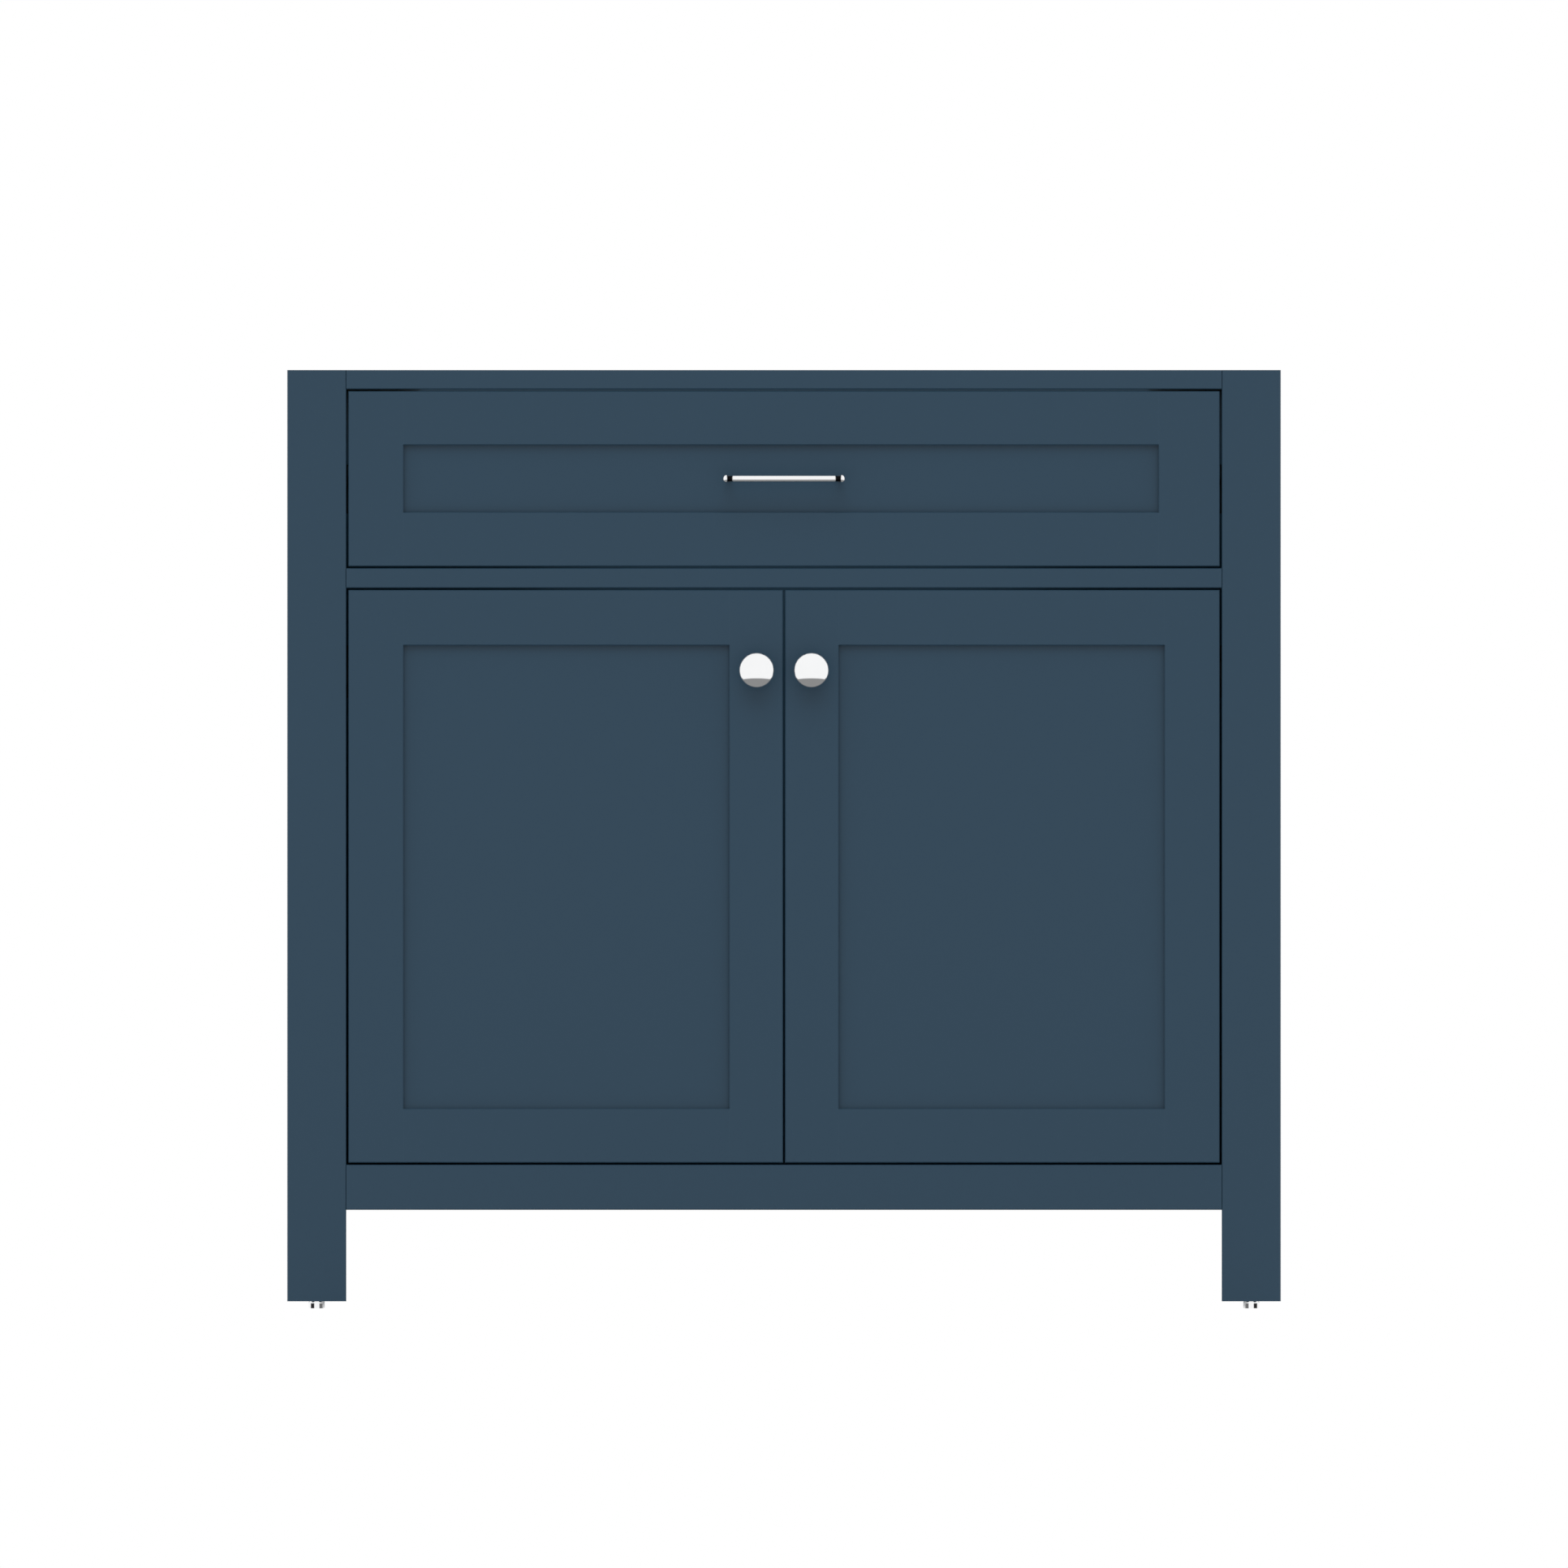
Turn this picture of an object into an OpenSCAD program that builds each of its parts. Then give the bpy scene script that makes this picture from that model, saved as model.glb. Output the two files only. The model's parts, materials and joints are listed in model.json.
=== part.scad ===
// Bathroom vanity cabinet: a framed drawer front over two inset doors, on four square posts
// with levelling feet. The drawer box is U-shaped and leaves a well for a sink bowl.
// The front faces -Y and +Z is up. The origin is on the floor, under the middle of the
// whole object, knobs included.

/* [Cabinet] */
// Width over the posts
cabinet_w = 914.4; // [740:0.1:1220]
// Height from the floor to the top of the posts
cabinet_h = 863.6; // [700:0.1:1050]
// Depth over the posts
cabinet_d = 546.1; // [440:0.1:680]
// Side of a square post
post_side = 54.3; // [50:0.1:70]
// Radius on the long edges of a post
post_edge_r = 1.6; // [0.4:0.1:4]
// Gap under the posts, filled by the feet
foot_gap = 6.4; // [4:0.1:15]

/* [Front openings] */
// Height of the top rail
top_rail_h = 17.5; // [14:0.1:40]
// Height of the drawer opening
drawer_opening_h = 165; // [150:0.1:210]
// Height of the middle rail
middle_rail_h = 18; // [14:0.1:40]
// Height of the bottom rail
bottom_rail_h = 41.5; // [30:0.1:80]
// Height of the clear space under the bottom rail
under_h = 90.6; // [60:0.1:140]
// Front to back size of the top and middle rails
cross_rail_d = 40; // [30:0.5:50]
// Gap around the doors and the drawer front
reveal = 2; // [1.6:0.1:3]
// Length of the tenons on the cabinet rails
tenon_l = 14; // [8:0.5:20]
// Thickness of the tenons on the cabinet rails
tenon_t = 10; // [6:0.5:12]
// Shoulder around each tenon
tenon_shoulder = 4; // [2:0.5:5]

/* [Sides, back and floor] */
// Thickness of the side rails
side_rail_t = 20; // [18:0.5:24]
// Height of the side rails
side_rail_h = 60; // [45:0.5:110]
// Setback of the side rails behind the post faces
side_setback = 6; // [3:0.5:12]
// Thickness of the cabinet floor
floor_t = 15; // [9:0.5:20]
// Thickness of the back panel
back_t = 6; // [3:0.5:10]
// Setback of the back panel from the rear post faces
back_setback = 8; // [4:0.5:14]
// Height of the wall fixing rail
wall_rail_h = 100; // [70:1:140]
// Thickness of the wall fixing rail
wall_rail_t = 18; // [15:0.5:25]
// Distance between the two wall fixing holes
wall_hole_spacing = 406.4; // [200:0.1:500]
// Radius of a wall fixing hole
wall_hole_r = 3.5; // [2.5:0.1:5]
// Width of each of the two cut-outs for pipes
pipe_cut_w = 190; // [100:1:220]
// Height of the cut-outs for pipes
pipe_cut_h = 280; // [150:1:320]
// Width of the web between the pipe cut-outs
pipe_web_w = 60; // [40:1:120]
// Cabinet floor to the bottom of the pipe cut-outs
pipe_cut_up = 150; // [60:1:160]
// Leg of a corner brace beyond its post
brace_leg = 70; // [50:1:90]
// Thickness of a corner brace
brace_t = 16; // [12:0.5:17]
// Radius of a worktop screw hole
brace_hole_r = 2.5; // [2:0.1:4]
// Distance of a worktop screw hole from the inner faces of its post
brace_hole_in = 18; // [12:0.5:24]

/* [Doors and drawer front] */
// Thickness of the door and drawer frames
front_t = 20; // [18:0.5:24]
// Width of the doors' outer stiles and of the drawer front's left stile
stile_w = 50.7; // [46:0.1:70]
// Width of the doors' inner stiles
inner_stile_w = 49.4; // [42:0.1:70]
// Width of the right stile of the drawer front
drawer_right_stile_w = 56.1; // [46:0.1:70]
// Height of the doors' top rails
door_top_rail_h = 50.9; // [35:0.1:60]
// Height of the doors' bottom rails and of both rails in the drawer front
frame_rail_w = 49.5; // [35:0.5:60]
// Setback of the flat panels behind the frame faces
panel_recess = 6; // [3:0.5:8]
// Thickness of the flat panels
panel_t = 8; // [5:0.5:9]
// Depth of the grooves that hold the panels
groove_d = 8; // [5:0.5:9]
// Room for a panel to move in its grooves
panel_float = 0.5; // [0.2:0.1:1]
// Chamfer on the edges of frames and rails
arris = 0.8; // [0.3:0.1:1.2]

/* [Drawer] */
// Thickness of the drawer box boards
box_t = 12; // [9:0.5:16]
// Drawer box to the underside of the top rail
box_room_above = 33; // [22:0.5:45]
// Middle rail to the underside of the drawer box
box_up = 14; // [8:0.5:20]
// Thickness of the drawer bottom
box_bottom_t = 6; // [4:0.5:8]
// Drawer box underside to the underside of its bottom
box_bottom_up = 9; // [5:0.5:14]
// Depth of the grooves that hold the drawer bottom
box_groove_d = 6; // [3:0.5:7]
// Room left behind the drawer box for the pipes
box_back_gap = 78; // [40:1:150]
// Clear width of the well for the sink bowl
well_w = 420; // [300:1:480]
// Front to back size of the tray in front of the well, boards included
front_tray_d = 130; // [90:1:180]

/* [Drawer slides] */
// Thickness of a slide, from the cabinet to the drawer box
slide_t = 12.7; // [12:0.1:14]
// Height of a slide
slide_h = 45; // [35:0.5:53]
// Wall of the slide members
slide_wall = 1.5; // [1:0.1:2]
// Gap between the slide members
slide_play = 1.3; // [0.8:0.1:1.6]
// Distance of the slides behind the drawer front
slide_setback = 4; // [2:0.5:10]
// Height of the battens that carry the slides
batten_h = 70; // [55:1:90]

/* [Hinges] */
// Distance of a hinge from the end of its door
hinge_end = 75; // [60:1:120]
// Radius of the hinge cup
cup_r = 17.4; // [17:0.1:17.5]
// Depth of the hinge cup
cup_d = 12; // [11:0.5:12.5]
// Distance of the cup's middle from the door edge
cup_in = 22.5; // [21.5:0.1:23.5]
// Room around the cup in its hole
cup_fit = 0.1; // [0.05:0.05:0.3]
// Wall of the cup
cup_wall = 1; // [0.8:0.1:1.2]
// Distance of the cup pin from the door edge
cup_pin_in = 12; // [11.5:0.1:12.5]
// Depth of the cup pin below the back of the door
cup_pin_deep = 7.5; // [7.2:0.1:7.8]
// Distance of the arm pin from the door edge
arm_pin_in = 14; // [13.5:0.1:14.5]
// Distance of the arm pin behind the back of the door
arm_pin_behind = 7; // [6.8:0.1:7.5]
// Radius of the hinge pins
hinge_pin_r = 1.5; // [1.2:0.1:1.8]
// Radial running clearance on the hinge pins
hinge_run = 0.05; // [0.02:0.01:0.1]
// Thickness of the bent cup link
cup_link_t = 2.5; // [2:0.1:2.6]
// Thickness of the hinge base plate
arm_base_t = 3; // [2:0.1:4]

/* [Knobs and pull] */
// Diameter of a knob
knob_dia = 32; // [26:0.5:36]
// Reach of a knob from the door face
knob_reach = 27; // [22:0.5:32]
// Distance of a knob from the closing edge of its door
knob_in = 24.2; // [18:0.1:26]
// Distance of a knob below the top of its door
knob_down = 73.8; // [50:0.1:200]
// Diameter of the pull's bar
pull_bar_dia = 6.4; // [6:0.1:9]
// Length of the pull over its end caps
pull_l = 113.2; // [110:0.1:160]
// Distance between the pull's posts
pull_spacing = 101.6; // [76:0.1:104]
// Reach of the pull from the panel it is fixed to
pull_reach = 32; // [26:0.5:33]
// Diameter of the pull's end caps
pull_cap_dia = 8.2; // [6.5:0.1:10]
// Length of the pull's end caps
pull_cap_l = 4.6; // [3:0.1:5.4]
// Radius of the pull's posts
pull_post_r = 3; // [2.8:0.1:3.6]

/* [Feet] */
// Width across the flats of a foot's hexagonal head
foot_flats = 13; // [12:0.5:24]
// Radius of a foot's stem
foot_stem_r = 4; // [3:0.5:5]
// Length of a foot's stem
foot_stem_l = 30; // [25:1:40]
// Radial clearance between a stem and its insert
foot_run = 0.05; // [0.02:0.01:0.1]
// Length of the insert in a post
insert_l = 20; // [14:1:24]
// Wall of the insert
insert_wall = 2.5; // [2:0.5:4]

/* [Screws] */
// Radius of the machine screws in the knobs and the pull
machine_screw_r = 2; // [1.5:0.1:2.5]
// Radius of the wood screws in the hinges
wood_screw_r = 1.75; // [1.5:0.05:2]
// Length of the wood screws under the head
wood_screw_l = 13; // [10:0.5:16]
// Thickness of a screw head
screw_head_t = 1.8; // [1:0.1:2.4]

/* [Hidden] */

LEFT = -1;
RIGHT = 1;
FRONT = -1;
REAR = 1;
cut = 1;
paint = "#374a59";
bare_wood = "#d8bf95";
chrome = "#dfe3e6";
zinc = "#aeb3b8";

// Places along Y: the front faces of posts, rails, doors and drawer share front_y
front_reach = max(knob_reach, pull_reach - panel_recess);
front_y = (front_reach - cabinet_d) / 2;
rear_y = front_y + cabinet_d;
front_back_y = front_y + front_t;
tongue_y = [front_y + panel_recess, front_y + panel_recess + panel_t];
back_y = [rear_y - back_setback - back_t, rear_y - back_setback];
wall_rail_y = [rear_y - back_setback - wall_rail_t, rear_y - back_setback];

// Places along X, as distances from the middle
half_w = cabinet_w / 2;
opening_half = half_w - post_side;
side_out = half_w - side_setback;
side_in = side_out - side_rail_t;
door_edge = opening_half - reveal;
door_free = reveal / 2;

// Places along Z
post_z = [foot_gap, cabinet_h];
top_rail_z = [cabinet_h - top_rail_h, cabinet_h];
middle_rail_top = top_rail_z[0] - drawer_opening_h;
middle_rail_z = [middle_rail_top - middle_rail_h, middle_rail_top];
bottom_rail_z = [under_h, under_h + bottom_rail_h];
drawer_z = [middle_rail_z[1] + reveal, top_rail_z[0] - reveal];
door_z = [bottom_rail_z[1] + reveal, middle_rail_z[0] - reveal];
floor_z = [bottom_rail_z[1] - floor_t, bottom_rail_z[1]];
wall_rail_z = [cabinet_h - wall_rail_h, cabinet_h];
side_top_z = [cabinet_h - side_rail_h, cabinet_h];
side_bottom_z = [under_h, under_h + side_rail_h];

// Side panels stand in grooves as far behind the side rail faces as the door panels
side_panel_x = [side_out - panel_recess - panel_t, side_out - panel_recess];
side_y = [front_y + post_side, rear_y - post_side];

// Drawer box
box_half = opening_half - slide_t;
box_z = [middle_rail_z[1] + box_up, top_rail_z[0] - box_room_above];
box_rear = wall_rail_y[0] - box_back_gap;
well_front = front_back_y + front_tray_d;
well_half = well_w / 2;
box_bottom_z = [box_z[0] + box_bottom_up, box_z[0] + box_bottom_up + box_bottom_t];

// Slides, each member one step inside the one before
slide_z = (box_z[0] + box_z[1]) / 2;
slide_y = [front_back_y + slide_setback, box_rear - slide_setback];
slide_step = slide_wall + slide_play;

// Framed fronts: outer limits and the fields where the panels show
drawer_field_x = [-door_edge + stile_w, door_edge - drawer_right_stile_w];
drawer_field_z = [drawer_z[0] + frame_rail_w, drawer_z[1] - frame_rail_w];
door_x = [-door_edge, -door_free];
door_field_x = [door_x[0] + stile_w, door_x[1] - inner_stile_w];
door_field_z = [door_z[0] + frame_rail_w, door_z[1] - door_top_rail_h];

// Hinges, from the outer front edge of the door, which is also the door's axis
hinge_zs = [door_z[0] + hinge_end, door_z[1] - hinge_end];
cup_pin = [cup_pin_in, front_t - cup_pin_deep];
arm_pin = [arm_pin_in, front_t + arm_pin_behind];
link_pin = cup_pin + arm_pin;
link_eye_wall = 1.7;
link_eye_r = hinge_pin_r + link_eye_wall;

// Cup: lip and ears round it, and the mouth that its link swings through
cup_flange_t = 1.2;
cup_lip_w = 2;
cup_ear_half = 29;
cup_ear_x = [cup_in - 3, cup_in + 16];
cup_screw_at = [cup_in + 9.5, 22.5];

// Links: the cup link between two arm links, and its knees as distances along and off the
// straight line between its pins
cup_link_half = 5;
cup_mouth_half = cup_link_half + 2;
cup_link_knees = [[5, 7.5], [14, 7.2]];
arm_link_z = [5.5, 8];
arm_link_w = 1.5 * link_eye_r;

// Arm: base plate, wings and the two cheeks that carry the arm pin
arm_base_y = [front_t + 2.5, front_t + 31];
wing_y = [front_t + 13, front_t + 23];
wing_half = 24;
arm_screw_z = 17;
cheek_z = [8.5, 10.3];
cheek_eye_r = link_eye_r + 0.4;
cheek_nose = [3, 2];
cheek_root_l = 8;
cheek_inset = 1;

// Screws
screw_bite = 9;
machine_head_r = 4.5;
cup_head_r = 3.4;
cup_head_t = 1;
wing_head_r = 3.8;

// Knob and pull
knob_z = door_z[1] - knob_down;
knob_x = door_free + knob_in;
pull_z = (drawer_z[0] + drawer_z[1]) / 2;
pull_y = front_y + panel_recess - pull_reach + pull_bar_dia / 2;
pull_base_y = front_y + panel_recess;
pull_neck_cut = 0.7;
pull_neck_x = [pull_spacing / 2 - pull_post_r, pull_l / 2 - pull_cap_l];
pull_dome_r = 2.6;

// Knob profile
knob_foot_r = 8;
knob_foot_t = 2;
knob_neck_r = 5.5;
knob_rim_t = 2;
knob_dome_h = 4.5;

// Feet
foot_x = half_w - post_side / 2;
foot_y = cabinet_d / 2 - post_side / 2;
body_mid_y = (front_y + rear_y) / 2;
insert_r = foot_stem_r + insert_wall;
foot_hole_r = foot_stem_r + 1;
foot_hole_l = foot_stem_l + 4;

// A box between two limits on each axis
module block(x, y, z) {
    translate([x[0], y[0], z[0]]) cube([x[1] - x[0], y[1] - y[0], z[1] - z[0]]);
}

// Everything is drawn for the left side and mirrored for the right
module on_side(side) {
    mirror([side == RIGHT ? 1 : 0, 0, 0]) children();
}

// A rod along Y, from y[0] to y[1]
module rod_y(x, y, z, r, sides = 48) {
    translate([x, y[1], z]) rotate([90, 0, 0]) cylinder(r = r, h = y[1] - y[0], $fn = sides);
}

// A rod along Z
module rod_z(at, z, r, sides = 32) {
    translate([at[0], at[1], z[0]]) cylinder(r = r, h = z[1] - z[0], $fn = sides);
}

// Square rod set on its edge, which chamfers the edge that it is centred on, along Z or X
module arris_z(x, y, z) {
    translate([x, y, z[0]]) linear_extrude(z[1] - z[0]) polygon(arris * [[-1, 0], [0, -1], [1, 0], [0, 1]]);
}

module arris_x(x, y, z) {
    translate([x[0], y, z]) rotate([90, 0, 90]) linear_extrude(x[1] - x[0])
        polygon(arris * [[-1, 0], [0, -1], [1, 0], [0, 1]]);
}

// Board along X with its four long edges chamfered
module eased_board(x, y, z) {
    difference() {
        block(x, y, z);
        for (face = y, edge = z) arris_x([x[0] - cut, x[1] + cut], face, edge);
    }
}

// A bar of width t between two points of the plan, from z[0] to z[1]
module link_bar(from, to, t, z) {
    run = to - from;
    translate([from[0], from[1], z[0]])
        rotate([0, 0, atan2(run[1], run[0])])
            translate([0, -t / 2, 0]) cube([norm(run), t, z[1] - z[0]]);
}

// ---- Cabinet ----

// Square bar with rounded long edges
module post_blank(x_side, y_side) {
    x0 = x_side == LEFT ? -half_w : half_w - post_side;
    y0 = y_side == FRONT ? front_y : rear_y - post_side;
    r = post_edge_r;
    translate([x0, y0, post_z[0]]) linear_extrude(post_z[1] - post_z[0]) {
        translate([r, 0]) square([post_side - 2 * r, post_side]);
        translate([0, r]) square([post_side, post_side - 2 * r]);
        for (x = [r, post_side - r], y = [r, post_side - r])
            translate([x, y]) circle(r = r, $fn = 32);
    }
}

// Tenon at the end of a rail that runs along X, crossing the post face at x = side * opening_half
module cross_tenon(side, y, z) {
    start = opening_half - cut;
    end = opening_half + tenon_l;
    on_side(side) block(
        [-end, -start],
        [(y[0] + y[1] - tenon_t) / 2, (y[0] + y[1] + tenon_t) / 2],
        [z[0] + tenon_shoulder, z[1] - tenon_shoulder]
    );
}

// Tenon at the end of a side rail, crossing the post face at a limit of side_y
module side_tenon(side, y_side, z) {
    face = y_side == FRONT ? side_y[0] : side_y[1];
    span = y_side == FRONT ? [face - tenon_l, face + cut] : [face - cut, face + tenon_l];
    middle = (side_in + side_out) / 2;
    on_side(side) block(
        [-middle - tenon_t / 2, -middle + tenon_t / 2],
        span,
        [z[0] + tenon_shoulder, z[1] - tenon_shoulder]
    );
}

// Front to back span of a rail that is flush with the front
function rail_y(depth) = [front_y, front_y + depth];

module post(x_side, y_side) {
    color(paint) difference() {
        post_blank(x_side, y_side);
        if (y_side == FRONT) {
            cross_tenon(x_side, rail_y(cross_rail_d), top_rail_z);
            cross_tenon(x_side, rail_y(cross_rail_d), middle_rail_z);
            cross_tenon(x_side, rail_y(front_t), bottom_rail_z);
            on_side(x_side) hinge_screw_shanks();
        } else {
            cross_tenon(x_side, wall_rail_y, wall_rail_z);
            on_side(x_side) block(
                [-opening_half - groove_d, -opening_half + cut],
                back_y,
                [floor_z[0] - cut, wall_rail_z[0] + cut]
            );
        }
        side_tenon(x_side, y_side, side_top_z);
        side_tenon(x_side, y_side, side_bottom_z);
        on_side(x_side) side_panel_blank(0);
        foot_hole(x_side, y_side);
    }
}

module side_panel_blank(float_room) {
    grow = groove_d - float_room;
    block(
        [-side_panel_x[1], -side_panel_x[0]],
        [side_y[0] - grow, side_y[1] + grow],
        [side_bottom_z[1] - grow, side_top_z[0] + grow]
    );
}

module side_panel(side) {
    color(paint) on_side(side) side_panel_blank(panel_float);
}

module side_rail(side, z) {
    difference() {
        union() {
            on_side(side) block([-side_out, -side_in], side_y, z);
            side_tenon(side, FRONT, z);
            side_tenon(side, REAR, z);
        }
        on_side(side) side_panel_blank(0);
    }
}

module side_rails() {
    color(paint) for (side = [LEFT, RIGHT], z = [side_top_z, side_bottom_z]) side_rail(side, z);
}

module cross_rail(y, z) {
    color(paint) union() {
        difference() {
            block([-opening_half, opening_half], y, z);
            for (edge = z) arris_x([-opening_half - cut, opening_half + cut], y[0], edge);
        }
        cross_tenon(LEFT, y, z);
        cross_tenon(RIGHT, y, z);
    }
}

module cabinet_floor() {
    color(paint) difference() {
        block([-side_in, side_in], [front_back_y, back_y[0]], floor_z);
        for (side = [LEFT, RIGHT]) {
            on_side(side) block(
                [-half_w, -opening_half],
                [front_y - cut, side_y[0]],
                [floor_z[0] - cut, floor_z[1] + cut]
            );
            on_side(side) block(
                [-half_w, -opening_half],
                [side_y[1], rear_y + cut],
                [floor_z[0] - cut, floor_z[1] + cut]
            );
        }
    }
}

module back_panel() {
    reach = opening_half + groove_d - panel_float;
    cut_z = floor_z[1] + pipe_cut_up;
    color(paint) difference() {
        block([-reach, reach], back_y, [floor_z[0], wall_rail_z[0]]);
        for (side = [LEFT, RIGHT]) on_side(side) block(
            [-pipe_web_w / 2 - pipe_cut_w, -pipe_web_w / 2],
            [back_y[0] - cut, back_y[1] + cut],
            [cut_z, cut_z + pipe_cut_h]
        );
    }
}

module wall_rail() {
    color(paint) difference() {
        union() {
            eased_board([-opening_half, opening_half], wall_rail_y, wall_rail_z);
            cross_tenon(LEFT, wall_rail_y, wall_rail_z);
            cross_tenon(RIGHT, wall_rail_y, wall_rail_z);
        }
        hole_y = [wall_rail_y[0] - cut, wall_rail_y[1] + cut];
        hole_z = (wall_rail_z[0] + wall_rail_z[1]) / 2;
        for (x = [-wall_hole_spacing / 2, wall_hole_spacing / 2]) rod_y(x, hole_y, hole_z, wall_hole_r);
    }
}

// Five-sided plate behind a post, drawn for the left and held against the rail at rail_face
module corner_brace(rail_face, post_face, into) {
    hole = [-opening_half + brace_hole_in, post_face + into * brace_hole_in];
    difference() {
        translate([0, 0, cabinet_h - brace_t]) linear_extrude(brace_t) polygon([
            [-opening_half, rail_face],
            [-opening_half + brace_leg, rail_face],
            [-side_in, post_face + into * brace_leg],
            [-side_in, post_face],
            [-opening_half, post_face]
        ]);
        rod_z(hole, [cabinet_h - brace_t - cut, cabinet_h + cut], brace_hole_r);
    }
}

module corner_braces() {
    color(paint) for (side = [LEFT, RIGHT]) on_side(side) {
        corner_brace(front_y + cross_rail_d, side_y[0], 1);
        corner_brace(wall_rail_y[0], side_y[1], -1);
    }
}

module slide_battens() {
    color(paint) for (side = [LEFT, RIGHT]) on_side(side)
        block([-side_in, -opening_half], side_y, [slide_z - batten_h / 2, slide_z + batten_h / 2]);
}

// ---- Slides: three channels, one inside the other, open towards the next ----

// Channel along Y: web at web_x, flanges from web_x to tip_x, half_h high
module channel(web_x, tip_x, half_h) {
    inward = tip_x > web_x ? 1 : -1;
    web = [min(web_x, web_x + inward * slide_wall), max(web_x, web_x + inward * slide_wall)];
    flange = [min(web_x, tip_x), max(web_x, tip_x)];
    block(web, slide_y, [slide_z - half_h, slide_z + half_h]);
    for (edge = [-half_h, half_h - slide_wall])
        block(flange, slide_y, [slide_z + edge, slide_z + edge + slide_wall]);
}

module slide_cabinet_members() {
    color(zinc) for (side = [LEFT, RIGHT]) on_side(side)
        channel(-opening_half, -box_half - slide_step, slide_h / 2);
}

module slide_middle_members() {
    color(zinc) for (side = [LEFT, RIGHT]) on_side(side)
        channel(-opening_half + slide_step, -box_half - slide_step, slide_h / 2 - slide_step);
}

module slide_drawer_members() {
    color(zinc) for (side = [LEFT, RIGHT]) on_side(side)
        channel(-box_half, -opening_half + 2 * slide_step, slide_h / 2 - 2 * slide_step);
}

// ---- Framed fronts: stiles and rails with stub tenons round a floating panel ----

// groove_side is 1 when the groove faces +X; field_z is the height that the panel shows
module framed_stile(x, z, field_z, groove_side) {
    groove_x = groove_side > 0 ? [x[1] - groove_d, x[1] + cut] : [x[0] - cut, x[0] + groove_d];
    inner = groove_side > 0 ? x[1] : x[0];
    outer = groove_side > 0 ? x[0] : x[1];
    difference() {
        block(x, [front_y, front_back_y], z);
        block(groove_x, tongue_y, [z[0] - cut, z[1] + cut]);
        for (y = [front_y, front_back_y]) {
            arris_z(outer, y, [z[0] - cut, z[1] + cut]);
            arris_z(inner, y, field_z);
            for (end = z) arris_x([x[0] - cut, x[1] + cut], y, end);
        }
    }
}

// groove_side is 1 when the groove faces +Z
module framed_rail(x, z, groove_side) {
    groove_z = groove_side > 0 ? [z[1] - groove_d, z[1] + cut] : [z[0] - cut, z[0] + groove_d];
    difference() {
        union() {
            block(x, [front_y, front_back_y], z);
            block([x[0] - groove_d, x[1] + groove_d], tongue_y, z);
        }
        block([x[0] - groove_d - cut, x[1] + groove_d + cut], tongue_y, groove_z);
        for (y = [front_y, front_back_y], edge = z) arris_x(x, y, edge);
    }
}

module framed_panel(x, z) {
    grow = groove_d - panel_float;
    block([x[0] - grow, x[1] + grow], tongue_y, [z[0] - grow, z[1] + grow]);
}

// ---- Drawer ----

module drawer_left_stile() {
    color(paint) framed_stile([-door_edge, drawer_field_x[0]], drawer_z, drawer_field_z, 1);
}

module drawer_right_stile() {
    color(paint) framed_stile([drawer_field_x[1], door_edge], drawer_z, drawer_field_z, -1);
}

module drawer_top_rail() {
    color(paint) framed_rail(drawer_field_x, [drawer_field_z[1], drawer_z[1]], -1);
}

module drawer_bottom_rail() {
    color(paint) framed_rail(drawer_field_x, [drawer_z[0], drawer_field_z[0]], 1);
}

module drawer_panel() {
    color(paint) difference() {
        framed_panel(drawer_field_x, drawer_field_z);
        pull_screw_shanks();
    }
}

// U-shaped plan of the drawer bottom, tongues included
module drawer_box_bottom() {
    wide = box_half - box_t + box_groove_d;
    near = front_back_y + box_t - box_groove_d;
    far = box_rear - box_t + box_groove_d;
    notch = well_half + box_t - box_groove_d;
    notch_y = well_front - box_t + box_groove_d;
    color(bare_wood) translate([0, 0, box_bottom_z[0]]) linear_extrude(box_bottom_t) polygon([
        [-wide, near], [wide, near], [wide, far], [notch, far],
        [notch, notch_y], [-notch, notch_y], [-notch, far], [-wide, far]
    ]);
}

module drawer_box_front() {
    color(bare_wood) difference() {
        eased_board([-box_half, box_half], [front_back_y, front_back_y + box_t], box_z);
        drawer_box_bottom();
        pull_screw_shanks();
    }
}

module drawer_box_side(side) {
    color(bare_wood) difference() {
        on_side(side) block([-box_half, -box_half + box_t], [front_back_y + box_t, box_rear], box_z);
        drawer_box_bottom();
    }
}

// Five boards: the front of the well, its two sides and the two short backs
module drawer_well_boards() {
    color(bare_wood) difference() {
        union() {
            block([-well_half - box_t, well_half + box_t], [well_front - box_t, well_front], box_z);
            for (side = [LEFT, RIGHT]) on_side(side) {
                block([-well_half - box_t, -well_half], [well_front, box_rear - box_t], box_z);
                block([-box_half + box_t, -well_half], [box_rear - box_t, box_rear], box_z);
            }
        }
        drawer_box_bottom();
    }
}

// ---- Pull ----

module pull_screw_shanks() {
    for (x = [-pull_spacing / 2, pull_spacing / 2])
        rod_y(x, [pull_base_y - screw_bite, front_back_y + box_t + cut], pull_z, machine_screw_r, 32);
}

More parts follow.
